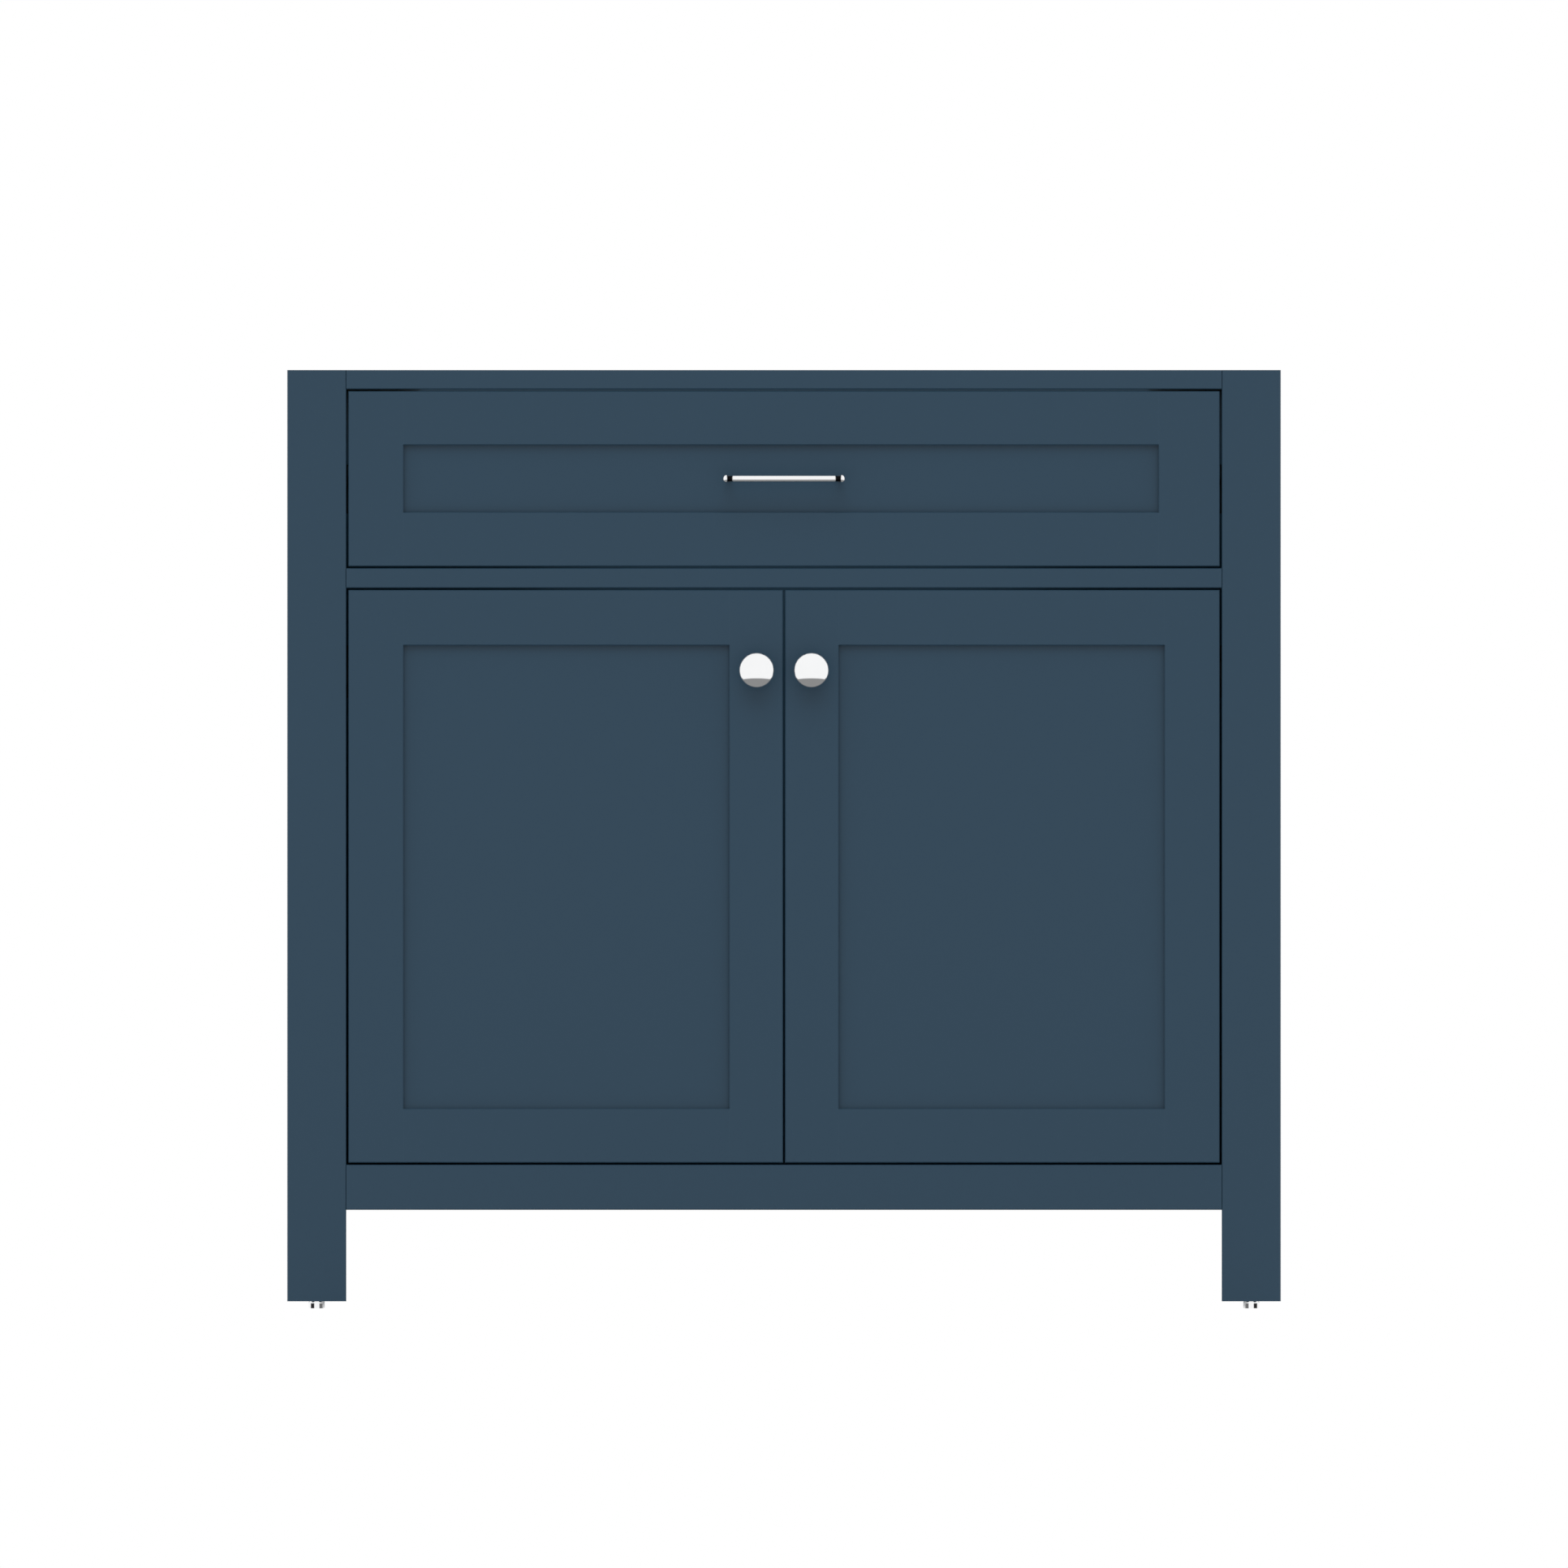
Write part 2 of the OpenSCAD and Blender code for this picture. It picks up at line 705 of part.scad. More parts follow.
// Bar with a narrower neck and a domed cap at each end, revolved about X
module pull_bar_blank() {
    neck_r = pull_bar_dia / 2 - pull_neck_cut;
    bar_r = pull_bar_dia / 2;
    cap_r = pull_cap_dia / 2;
    end = pull_l / 2;
    arc = [
        for (a = [0:15:90])
            [cap_r - pull_dome_r * (1 - cos(a)), end - pull_dome_r * (1 - sin(a))]
    ];
    half = concat([
        [bar_r, 0], [bar_r, pull_neck_x[0]], [neck_r, pull_neck_x[0]],
        [neck_r, pull_neck_x[1]], [cap_r, pull_neck_x[1]]
    ], arc);
    mirrored = [for (i = [len(half) - 1:-1:1]) [half[i][0], -half[i][1]]];
    translate([0, pull_y, pull_z]) rotate([0, 90, 0]) rotate_extrude($fn = 48)
        polygon(concat([[0, -end]], mirrored, half, [[0, end]]));
}

module drawer_pull_bar() {
    color(chrome) pull_bar_blank();
}

module drawer_pull_posts() {
    color(chrome) difference() {
        for (x = [-pull_spacing / 2, pull_spacing / 2])
            rod_y(x, [pull_y, pull_base_y], pull_z, pull_post_r, 32);
        pull_bar_blank();
        pull_screw_shanks();
    }
}

module drawer_pull_screws() {
    color(zinc) for (x = [-pull_spacing / 2, pull_spacing / 2]) {
        back = front_back_y + box_t;
        rod_y(x, [pull_base_y - screw_bite, back], pull_z, machine_screw_r, 32);
        rod_y(x, [back, back + screw_head_t], pull_z, machine_head_r, 32);
    }
}

// ---- Doors, drawn for the left ----

module door_outer_stile(side) {
    color(paint) on_side(side) difference() {
        framed_stile([door_x[0], door_field_x[0]], door_z, door_field_z, 1);
        for (z = hinge_zs) translate([-door_edge, front_y, z]) {
            rod_y(cup_in, [front_t - cup_d, front_t + cut], 0, cup_r + cup_fit, 64);
            cup_screw_shanks();
        }
    }
}

module door_inner_stile(side) {
    color(paint) on_side(side) difference() {
        framed_stile([door_field_x[1], door_x[1]], door_z, door_field_z, -1);
        rod_y(-knob_x, [front_y - cut, front_back_y + cut], knob_z, machine_screw_r, 32);
    }
}

module door_top_rail(side) {
    color(paint) on_side(side) framed_rail(door_field_x, [door_field_z[1], door_z[1]], -1);
}

module door_bottom_rail(side) {
    color(paint) on_side(side) framed_rail(door_field_x, [door_z[0], door_field_z[0]], 1);
}

module door_panel(side) {
    color(paint) on_side(side) framed_panel(door_field_x, door_field_z);
}

// Mushroom knob revolved about Y: foot, hollow neck, straight rim and a low dome
module knob(side) {
    r = knob_dia / 2;
    cove = knob_foot_t + 1;
    rim_at = knob_reach - knob_dome_h - knob_rim_t;
    neck = [
        for (a = [90:-10:0])
            [r - (r - knob_neck_r) * sin(a), cove + (rim_at - cove) * cos(a)]
    ];
    dome_r = (pow(r, 2) + pow(knob_dome_h, 2)) / (2 * knob_dome_h);
    sweep = asin(r / dome_r);
    dome = [
        for (i = [0:8])
            let (a = sweep * (1 - i / 8))
                [dome_r * sin(a), knob_reach - dome_r * (1 - cos(a))]
    ];
    color(chrome) on_side(side) difference() {
        translate([-knob_x, front_y, knob_z]) rotate([90, 0, 0]) rotate_extrude($fn = 64)
            polygon(concat([[0, 0], [knob_foot_r, 0], [knob_foot_r, knob_foot_t]], neck, dome));
        rod_y(-knob_x, [front_y - screw_bite, front_y + cut], knob_z, machine_screw_r, 32);
    }
}

module knob_screw(side) {
    color(zinc) on_side(side) {
        rod_y(-knob_x, [front_y - screw_bite, front_back_y], knob_z, machine_screw_r, 32);
        rod_y(-knob_x, [front_back_y, front_back_y + screw_head_t], knob_z, machine_head_r, 32);
    }
}

// ---- Concealed hinges ----
// A hinge turns the door about its own outer front edge with two links of a parallelogram.
// The arm link always lies as the door does, and the cup link keeps its direction, so both
// meet at one pin however far the door is open.

module cup_screw_shanks() {
    for (z = [-cup_screw_at[1], cup_screw_at[1]])
        rod_y(cup_screw_at[0], [front_t - screw_bite, front_t + cup_flange_t + cut], z, wood_screw_r, 24);
}

module hinge_cup() {
    inner_r = cup_r - cup_wall;
    difference() {
        union() {
            rod_y(cup_in, [front_t - cup_d, front_t], 0, cup_r, 64);
            rod_y(cup_in, [front_t, front_t + cup_flange_t], 0, cup_r + cup_lip_w, 64);
            block(cup_ear_x, [front_t, front_t + cup_flange_t], [-cup_ear_half, cup_ear_half]);
        }
        rod_y(cup_in, [front_t - cup_d + cup_wall, front_t + cup_flange_t + cut], 0, inner_r, 64);
        block(
            [-cut, cup_ear_x[0]],
            [front_t, front_t + cup_flange_t + cut],
            [-cup_mouth_half, cup_mouth_half]
        );
        cup_screw_shanks();
    }
    pin_reach = sqrt(pow(cup_r - cup_wall / 2, 2) - pow(cup_in - cup_pin_in, 2));
    rod_z(cup_pin, [-pin_reach, pin_reach], hinge_pin_r);
}

module hinge_cups(side) {
    color(zinc) on_side(side) for (z = hinge_zs) translate([-door_edge, front_y, z]) hinge_cup();
}

module hinge_cup_screws(side) {
    color(zinc) on_side(side) for (z = hinge_zs) translate([-door_edge, front_y, z])
        for (dz = [-cup_screw_at[1], cup_screw_at[1]]) {
            seat = front_t + cup_flange_t;
            rod_y(cup_screw_at[0], [front_t - screw_bite, seat], dz, wood_screw_r, 24);
            rod_y(cup_screw_at[0], [seat, seat + cup_head_t], dz, cup_head_r, 24);
        }
}

function unit(v) = v / norm(v);
function turned(v) = [-v[1], v[0]];

// Step from a corner of a path to the edge of a strip one unit wide on each side of it
function mitre(before, at, after) =
    let (a = turned(unit(at - before)), b = turned(unit(after - at))) (a + b) / (1 + a * b);

// Strip of thickness t along a path of four points, mitred at the two inner ones
module bent_strip(path, t, z) {
    steps = [
        turned(unit(path[1] - path[0])),
        mitre(path[0], path[1], path[2]),
        mitre(path[1], path[2], path[3]),
        turned(unit(path[3] - path[2]))
    ];
    near = [for (i = [0:3]) path[i] + steps[i] * t / 2];
    far = [for (i = [3:-1:0]) path[i] - steps[i] * t / 2];
    translate([0, 0, z[0]]) linear_extrude(z[1] - z[0]) polygon(concat(near, far));
}

// The bent cup link bows away from the door edge, which it passes over when the door is open
module hinge_cup_link() {
    along = unit(arm_pin);
    bow = -turned(along);
    knees = [for (k = cup_link_knees) cup_pin + k[0] * along + k[1] * bow];
    path = concat([cup_pin], knees, [link_pin]);
    z = [-cup_link_half, cup_link_half];
    difference() {
        union() {
            bent_strip(path, cup_link_t, z);
            for (end = [cup_pin, link_pin]) rod_z(end, z, link_eye_r);
        }
        for (end = [cup_pin, link_pin])
            rod_z(end, [z[0] - cut, z[1] + cut], hinge_pin_r + hinge_run);
    }
}

module hinge_cup_links(side) {
    color(zinc) on_side(side) for (z = hinge_zs) translate([-door_edge, front_y, z]) hinge_cup_link();
}

// Two plates on one riveted pin, either side of the cup link
module hinge_arm_link() {
    for (z = [arm_link_z, [-arm_link_z[1], -arm_link_z[0]]]) difference() {
        union() {
            link_bar(arm_pin, link_pin, arm_link_w, z);
            for (end = [arm_pin, link_pin]) rod_z(end, z, link_eye_r);
        }
        rod_z(arm_pin, [z[0] - cut, z[1] + cut], hinge_pin_r + hinge_run);
    }
    rod_z(link_pin, [-arm_link_z[1], arm_link_z[1]], hinge_pin_r);
}

module hinge_arm_links(side) {
    color(zinc) on_side(side) for (z = hinge_zs) translate([-door_edge, front_y, z]) hinge_arm_link();
}

// Base plate on the post with two wings, and two cheeks that carry the arm pin
module hinge_arm() {
    base_x = [-reveal, -reveal + arm_base_t];
    root = base_x[1] - cut;
    difference() {
        union() {
            block(base_x, arm_base_y, [-cheek_z[1], cheek_z[1]]);
            block(base_x, wing_y, [-wing_half, wing_half]);
            for (z = [cheek_z[0], -cheek_z[1]]) {
                translate([0, 0, z]) linear_extrude(cheek_z[1] - cheek_z[0]) polygon([
                    [root, arm_base_y[0] + cheek_inset],
                    [arm_pin[0], arm_pin[1] - cheek_eye_r],
                    arm_pin + cheek_nose,
                    [root + cheek_root_l, arm_base_y[1] - cheek_inset],
                    [root, arm_base_y[1] - cheek_inset]
                ]);
                rod_z(arm_pin, [z, z + cheek_z[1] - cheek_z[0]], cheek_eye_r);
            }
            rod_z(arm_pin, [-cheek_z[1], cheek_z[1]], hinge_pin_r);
        }
        for (z = [-arm_screw_z, arm_screw_z])
            arm_screw_rod(z, [-wood_screw_l, arm_base_t + cut], wood_screw_r);
    }
}

// A rod along X at a hinge's wing screw, between two distances from the post face
module arm_screw_rod(z, span, r) {
    translate([-reveal + span[0], (wing_y[0] + wing_y[1]) / 2, z]) rotate([0, 90, 0])
        cylinder(r = r, h = span[1] - span[0], $fn = 32);
}

module hinge_arms() {
    color(zinc) for (side = [LEFT, RIGHT]) on_side(side)
        for (z = hinge_zs) translate([-door_edge, front_y, z]) hinge_arm();
}

module hinge_screw_shanks() {
    for (z = hinge_zs, dz = [-arm_screw_z, arm_screw_z])
        translate([-door_edge, front_y, z]) arm_screw_rod(dz, [-wood_screw_l, cut], wood_screw_r);
}

module hinge_arm_screws() {
    color(zinc) for (side = [LEFT, RIGHT]) on_side(side)
        for (z = hinge_zs, dz = [-arm_screw_z, arm_screw_z]) translate([-door_edge, front_y, z]) {
            arm_screw_rod(dz, [-wood_screw_l, arm_base_t], wood_screw_r);
            arm_screw_rod(dz, [arm_base_t, arm_base_t + screw_head_t], wing_head_r);
        }
}

// ---- Feet ----

module at_foot(x_side, y_side) {
    translate([x_side * foot_x, body_mid_y + y_side * foot_y, 0]) children();
}

module foot_hole(x_side, y_side) {
    at_foot(x_side, y_side) {
        rod_z([0, 0], [foot_gap - cut, foot_gap + insert_l], insert_r);
        rod_z([0, 0], [foot_gap - cut, foot_gap + foot_hole_l], foot_hole_r);
    }
}

module foot_inserts() {
    color(zinc) for (x_side = [LEFT, RIGHT], y_side = [FRONT, REAR]) at_foot(x_side, y_side)
        difference() {
            rod_z([0, 0], [foot_gap, foot_gap + insert_l], insert_r);
            rod_z([0, 0], [foot_gap - cut, foot_gap + insert_l + cut], foot_stem_r + foot_run);
        }
}

// Levelling bolt that stands on its hexagonal head
module foot(x_side, y_side) {
    color(chrome) at_foot(x_side, y_side) {
        cylinder(r = foot_flats / 2 / cos(30), h = foot_gap, $fn = 6);
        rod_z([0, 0], [0, foot_gap + foot_stem_l], foot_stem_r);
    }
}

post(LEFT, FRONT);  // front_left_post
post(RIGHT, FRONT);  // front_right_post
post(LEFT, REAR);  // rear_left_post
post(RIGHT, REAR);  // rear_right_post
side_rails();
side_panel(LEFT);  // left_side_panel
side_panel(RIGHT);  // right_side_panel
cross_rail(rail_y(cross_rail_d), top_rail_z);  // front_top_rail
cross_rail(rail_y(cross_rail_d), middle_rail_z);  // front_middle_rail
cross_rail(rail_y(front_t), bottom_rail_z);  // front_bottom_rail
cabinet_floor();
back_panel();
wall_rail();
corner_braces();
slide_battens();
slide_cabinet_members();
hinge_arms();
hinge_arm_screws();
foot_inserts();
foot(LEFT, FRONT);  // front_left_foot
foot(RIGHT, FRONT);  // front_right_foot
foot(LEFT, REAR);  // rear_left_foot
foot(RIGHT, REAR);  // rear_right_foot
drawer_left_stile();
drawer_right_stile();
drawer_top_rail();
drawer_bottom_rail();
drawer_panel();
drawer_box_front();
drawer_box_side(LEFT);  // drawer_box_left_side
drawer_box_side(RIGHT);  // drawer_box_right_side
drawer_well_boards();
drawer_box_bottom();
drawer_pull_bar();
drawer_pull_posts();
drawer_pull_screws();
slide_drawer_members();
slide_middle_members();
door_outer_stile(LEFT);  // left_door_outer_stile
door_inner_stile(LEFT);  // left_door_inner_stile
door_top_rail(LEFT);  // left_door_top_rail
door_bottom_rail(LEFT);  // left_door_bottom_rail
door_panel(LEFT);  // left_door_panel
knob(LEFT);  // left_knob
knob_screw(LEFT);  // left_knob_screw
hinge_cups(LEFT);  // left_hinge_cups
hinge_cup_screws(LEFT);  // left_hinge_cup_screws
hinge_cup_links(LEFT);  // left_hinge_cup_links
hinge_arm_links(LEFT);  // left_hinge_arm_links
door_outer_stile(RIGHT);  // right_door_outer_stile
door_inner_stile(RIGHT);  // right_door_inner_stile
door_top_rail(RIGHT);  // right_door_top_rail
door_bottom_rail(RIGHT);  // right_door_bottom_rail
door_panel(RIGHT);  // right_door_panel
knob(RIGHT);  // right_knob
knob_screw(RIGHT);  // right_knob_screw
hinge_cups(RIGHT);  // right_hinge_cups
hinge_cup_screws(RIGHT);  // right_hinge_cup_screws
hinge_cup_links(RIGHT);  // right_hinge_cup_links
hinge_arm_links(RIGHT);  // right_hinge_arm_links
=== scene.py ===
"""Looks of a painted bathroom vanity cabinet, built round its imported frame.

Posts, rails, boards and panels keep the shapes they come with and get painted, veneered or
plated finishes. Turned and pressed hardware gets finer pieces of its own: knobs, pull, feet,
screw heads, hinge rivets and the ball cages of the drawer slides. All sizes are in metres.
"""
import json  # noqa: E402
import logging  # noqa: E402
import math  # noqa: E402
from dataclasses import dataclass, field  # noqa: E402
from enum import Enum  # noqa: E402

import bpy  # noqa: E402
import numpy as np  # noqa: E402
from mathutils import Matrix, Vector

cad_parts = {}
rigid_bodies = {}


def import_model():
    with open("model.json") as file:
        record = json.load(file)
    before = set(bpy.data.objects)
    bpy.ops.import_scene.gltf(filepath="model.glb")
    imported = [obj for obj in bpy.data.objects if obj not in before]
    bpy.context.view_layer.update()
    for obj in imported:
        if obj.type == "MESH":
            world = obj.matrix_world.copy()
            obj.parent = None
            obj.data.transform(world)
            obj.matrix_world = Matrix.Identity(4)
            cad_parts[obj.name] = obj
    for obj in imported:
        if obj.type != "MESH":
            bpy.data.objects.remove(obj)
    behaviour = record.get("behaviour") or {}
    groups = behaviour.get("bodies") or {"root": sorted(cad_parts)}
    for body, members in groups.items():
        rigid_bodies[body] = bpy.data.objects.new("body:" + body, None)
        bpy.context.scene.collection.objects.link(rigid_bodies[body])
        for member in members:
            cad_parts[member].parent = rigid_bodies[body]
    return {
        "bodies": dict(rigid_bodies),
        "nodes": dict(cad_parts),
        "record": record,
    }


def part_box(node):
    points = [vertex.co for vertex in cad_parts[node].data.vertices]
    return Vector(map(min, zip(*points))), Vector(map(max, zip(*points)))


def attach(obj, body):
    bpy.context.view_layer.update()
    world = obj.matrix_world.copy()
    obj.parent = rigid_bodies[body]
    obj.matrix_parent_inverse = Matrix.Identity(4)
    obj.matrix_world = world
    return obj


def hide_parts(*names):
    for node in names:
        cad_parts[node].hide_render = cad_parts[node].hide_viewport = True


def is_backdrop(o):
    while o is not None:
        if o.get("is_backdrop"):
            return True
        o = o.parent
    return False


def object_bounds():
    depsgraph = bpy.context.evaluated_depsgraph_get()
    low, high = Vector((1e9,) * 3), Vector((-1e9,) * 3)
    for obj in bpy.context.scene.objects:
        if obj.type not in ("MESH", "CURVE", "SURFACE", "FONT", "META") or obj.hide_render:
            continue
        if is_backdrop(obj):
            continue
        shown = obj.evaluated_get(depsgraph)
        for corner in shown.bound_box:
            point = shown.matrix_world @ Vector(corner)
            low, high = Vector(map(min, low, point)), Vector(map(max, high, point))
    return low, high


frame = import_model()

LOG = logging.getLogger("vanity")
MM = 0.001
Colour = tuple[float, float, float]
Span = tuple[float, float]
Array = np.ndarray
Node = bpy.types.Node
Socket = bpy.types.NodeSocket
Sockets = bpy.types.NodeOutputs
Material = bpy.types.Material


class Side(Enum):
    """Left and right half of the cabinet, as the sign of X."""

    LEFT = -1
    RIGHT = 1

    @property
    def word(self) -> str:
        """Name of the side as node names start with it."""
        return self.name.lower()


class Axis(Enum):
    """One of the frame's three axes."""

    X = 0
    Y = 1
    Z = 2

    def vector(self, sign: float = 1.0) -> Array:
        """Unit vector along the axis, or against it for a sign of -1."""
        made = np.zeros(3)
        made[self.value] = sign
        return made


class Slot(Enum):
    """Material slots of the record."""

    PAINT = "navy_paint"
    BIRCH = "birch_ply"
    ZINC = "zinc_steel"
    CHROME = "chrome_trim"


# ---- Surfaces ----


@dataclass
class Patch:
    """Part of a surface.

    Args:
        points: n points, one per row.
        faces: m faces of four corners, as row numbers of points.
        uv: m by 4 pairs (u, v), one for each corner of each face.
        hollow: n values from 0 to 1, how much shade is painted on each point.
    """

    points: Array
    faces: Array
    uv: Array
    hollow: Array


def grid_patch(points: Array, hollow: Array | None = None) -> Patch:
    """Joins a grid of points into four-cornered faces.

    Point (i, j) gets u = i / (rows - 1) and v = j / (columns - 1). A face turns its outside
    to the side of the cross product of the u direction and the v direction.

    Args:
        points: Array of rows by columns by 3.
        hollow: Array of rows by columns of painted shade, or None for a surface without it.

    Returns:
        The patch.
    """
    rows, columns = points.shape[:2]
    index = np.arange(rows * columns).reshape(rows, columns)
    corners = [index[:-1, :-1], index[1:, :-1], index[1:, 1:], index[:-1, 1:]]
    faces = np.stack(corners, axis=-1).reshape(-1, 4)
    u, v = np.meshgrid(np.linspace(0, 1, rows), np.linspace(0, 1, columns), indexing="ij")
    uv = np.stack([u, v], axis=-1).reshape(-1, 2)
    shade_values = np.zeros(rows * columns) if hollow is None else hollow.reshape(-1)
    return Patch(points.reshape(-1, 3), faces, uv[faces], shade_values)


def joined(patches: list[Patch]) -> Patch:
    """Puts patches into one, with their points numbered on."""
    starts = np.cumsum([0] + [len(p.points) for p in patches[:-1]])
    return Patch(
        np.concatenate([p.points for p in patches]),
        np.concatenate([p.faces + start for p, start in zip(patches, starts, strict=True)]),
        np.concatenate([p.uv for p in patches]),
        np.concatenate([p.hollow for p in patches]),
    )


def across(direction: Array) -> tuple[Array, Array]:
    """Two unit vectors square to a direction and to each other, right-handed with it."""
    helper = Axis.X.vector() if abs(direction[0]) < 0.9 else Axis.Z.vector()
    first = np.cross(helper, direction)
    first /= np.linalg.norm(first)
    return first, np.cross(direction, first)


def full_turn(sides: int) -> Array:
    """Angles of a full turn, whose last one is the first again so that the seam closes."""
    angles = np.arange(sides) * 2 * math.pi / sides
    return np.append(angles, angles[0])


def turned(
    profile: Array,
    start: Array,
    direction: Array,
    sides: int = 64,
    hollow: Array | None = None,
) -> Patch:
    """Revolves a profile about a line.

    The point at radius r and distance s along the line goes, at the angle t, to
    start + s * direction + r * (cos t * a + sin t * b), where a and b are square to the line.

    Args:
        profile: Pairs (r, s), from the back of the piece to its front.
        start: Point of the line where s is 0.
        direction: Unit vector along the line.
        sides: Number of facets round the line.
        hollow: Painted shade, one value for each profile point.

    Returns:
        The turned surface, with its outside out.
    """
    a, b = across(direction)
    t = full_turn(sides)
    ring = np.cos(t)[:, None] * a + np.sin(t)[:, None] * b
    radius, along = profile[:, 0], profile[:, 1]
    points = start + ring[:, None, :] * radius[None, :, None]
    points = points + along[None, :, None] * direction
    shade_values = None if hollow is None else np.tile(hollow, (sides + 1, 1))
    return grid_patch(points, shade_values)


def arc(centre: Span, radius: float, angles: Span, steps: int) -> Array:
    """Points (r, s) of a circular arc: centre + radius * (cos a, sin a), angles in degrees."""
    a = np.radians(np.linspace(angles[0], angles[1], steps + 1))
    return np.stack([centre[0] + radius * np.cos(a), centre[1] + radius * np.sin(a)], axis=-1)


def refined(profile: Array, step: float) -> Array:
    """Profile with points added so that none lies further than step from the next."""
    length = np.linalg.norm(np.diff(profile, axis=0), axis=1)
    counts = np.maximum(1, np.ceil(length / step).astype(int))
    place = np.concatenate([k + np.arange(n) / n for k, n in enumerate(counts)])
    place = np.append(place, len(counts))
    known = np.arange(len(profile))
    columns = [np.interp(place, known, profile[:, c]) for c in range(2)]
    return np.stack(columns, axis=-1)


def smooth_step(low: float, high: float, value: Array) -> Array:
    """0 up to low, 1 from high, and 3x^2 - 2x^3 between them."""
    x = np.clip((value - low) / (high - low), 0, 1)
    return x * x * (3 - 2 * x)


@dataclass(frozen=True)
class CrossHead:
    """Pan head of a cross-recessed screw.

    The head rises as height * (1 - (q / radius)^2 * crown) at the distance q from its middle.
    The recess sinks where a point lies in one of two crossing bars with rounded walls, and
    fades towards the ends of the bars.

    Args:
        radius: Radius of the head.
        height: Height of its middle.
        crown: Fall of the head from its middle to its edge, as a share of the height.
        slot_half: Half the width of a bar, as a share of the radius.
        slot_reach: Half the length of a bar, as the same share.
        slot_depth: Depth of the recess, as a share of the height.
        slot_shade: How dark the shade painted into the recess is.
    """

    radius: float
    height: float
    crown: float = 0.45
    slot_half: float = 0.16
    slot_reach: float = 0.62
    slot_depth: float = 0.75
    slot_shade: float = 0.8

    def patch(self, seat: Array, direction: Array, turn: float = 0.3) -> Patch:
        """Builds the head.

        Args:
            seat: Middle of the head's underside.
            direction: Unit vector out of the work.
            turn: Angle in radians that the recess is turned by.

        Returns:
            A closed surface.
        """
        t = full_turn(64)
        q = np.concatenate([[0, 1, 1], np.linspace(1, 0, 16)])
        edge = self.height * (1 - self.crown)
        rise = edge + (self.height - edge) * (1 - q**2)
        rise[:2] = 0
        x = q[None, :] * np.cos(t + turn)[:, None]
        y = q[None, :] * np.sin(t + turn)[:, None]
        recess = np.maximum(self.bar(x, y), self.bar(y, x))
        recess[:, :3] = 0
        rise = rise[None, :] - recess * self.height * self.slot_depth
        a, b = across(direction)
        ring = np.cos(t)[:, None] * a + np.sin(t)[:, None] * b
        points = seat + ring[:, None, :] * (q * self.radius)[None, :, None]
        # Shade is painted into the recess, in step with its depth.
        return grid_patch(points + rise[:, :, None] * direction, self.slot_shade * recess)

    def bar(self, x: Array, y: Array) -> Array:
        """Depth of one bar of the recess, from 0 to 1, at points of a head of radius 1."""
        narrow = 1 - smooth_step(self.slot_half * 0.8, self.slot_half * 1.3, np.abs(x))
        short = 1 - smooth_step(self.slot_reach * 0.6, self.slot_reach, np.abs(y))
        return narrow * short


@dataclass(frozen=True)
class Screw:
    """Cross-headed screw, whose thread is drawn as rings along the shank.

    Args:
        head: Its head.
        shank: Length of the shank.
        shank_r: Outer radius of the thread.
        pitch: Distance between the rings.
        thread: Depth of the rings, as a share of the radius.
    """

    head: CrossHead
    shank: float
    shank_r: float = 2.0 * MM
    pitch: float = 0.7 * MM
    thread: float = 0.14

    def seat(self, node: str) -> float:
        """Y of the head's underside, for a node whose screws have their heads at the back."""
        return node_span(node, Axis.Y)[1] - self.head.height

    def patches(self, seat: Array, out: Array, turn: float = 0.3) -> list[Patch]:
        """Builds the head and the shank.

        The shank's radius is the outer one times 1 - thread * (1 - cos(turns along it)) / 2.

        Args:
            seat: Middle of the head's underside.
            out: Unit vector out of the work.
            turn: Angle in radians that the recess is turned by.

        Returns:
            The two surfaces.
        """
        s = np.linspace(0, self.shank, 2 * int(2 * self.shank / self.pitch) + 1)
        wave = 1 - self.thread * (1 - np.cos(2 * math.pi * s / self.pitch)) / 2
        profile = np.stack([self.shank_r * wave, s], axis=-1)
        profile = np.concatenate([[[0, 0]], profile, [[0, self.shank]]])
        return [self.head.patch(seat, out, turn), turned(profile, seat, -out, 20)]


def ball_patch(centre: Array, radius: float, sides: int = 10, rings: int = 6) -> Patch:
    """Small ball: a half circle of the given radius turned about Z."""
    profile = arc((0.0, 0.0), radius, (-90.0, 90.0), rings)
    profile[[0, -1], 0] = 0
    return turned(profile, centre, Axis.Z.vector(), sides)


def welded(patch: Patch) -> tuple[Array, Array, Array, Array, Array]:
    """Joins points that coincide, and drops the corners and faces that this empties.

    Returns:
        Points, painted shade values, corner point numbers, corner (u, v) and the corners per face.
    """
    keys = np.round(patch.points / 1e-8).astype(np.int64)
    _, first, inverse = np.unique(keys, axis=0, return_index=True, return_inverse=True)
    faces = inverse.reshape(-1)[patch.faces]
    kept = faces != np.roll(faces, 1, axis=1)
    totals = kept.sum(axis=1)
    real = totals >= 3
    corners = faces[real][kept[real]]
    uv = patch.uv[real][kept[real]]
    return patch.points[first], patch.hollow[first], corners, uv, totals[real]


# ---- Shader groups shared by the finishes ----


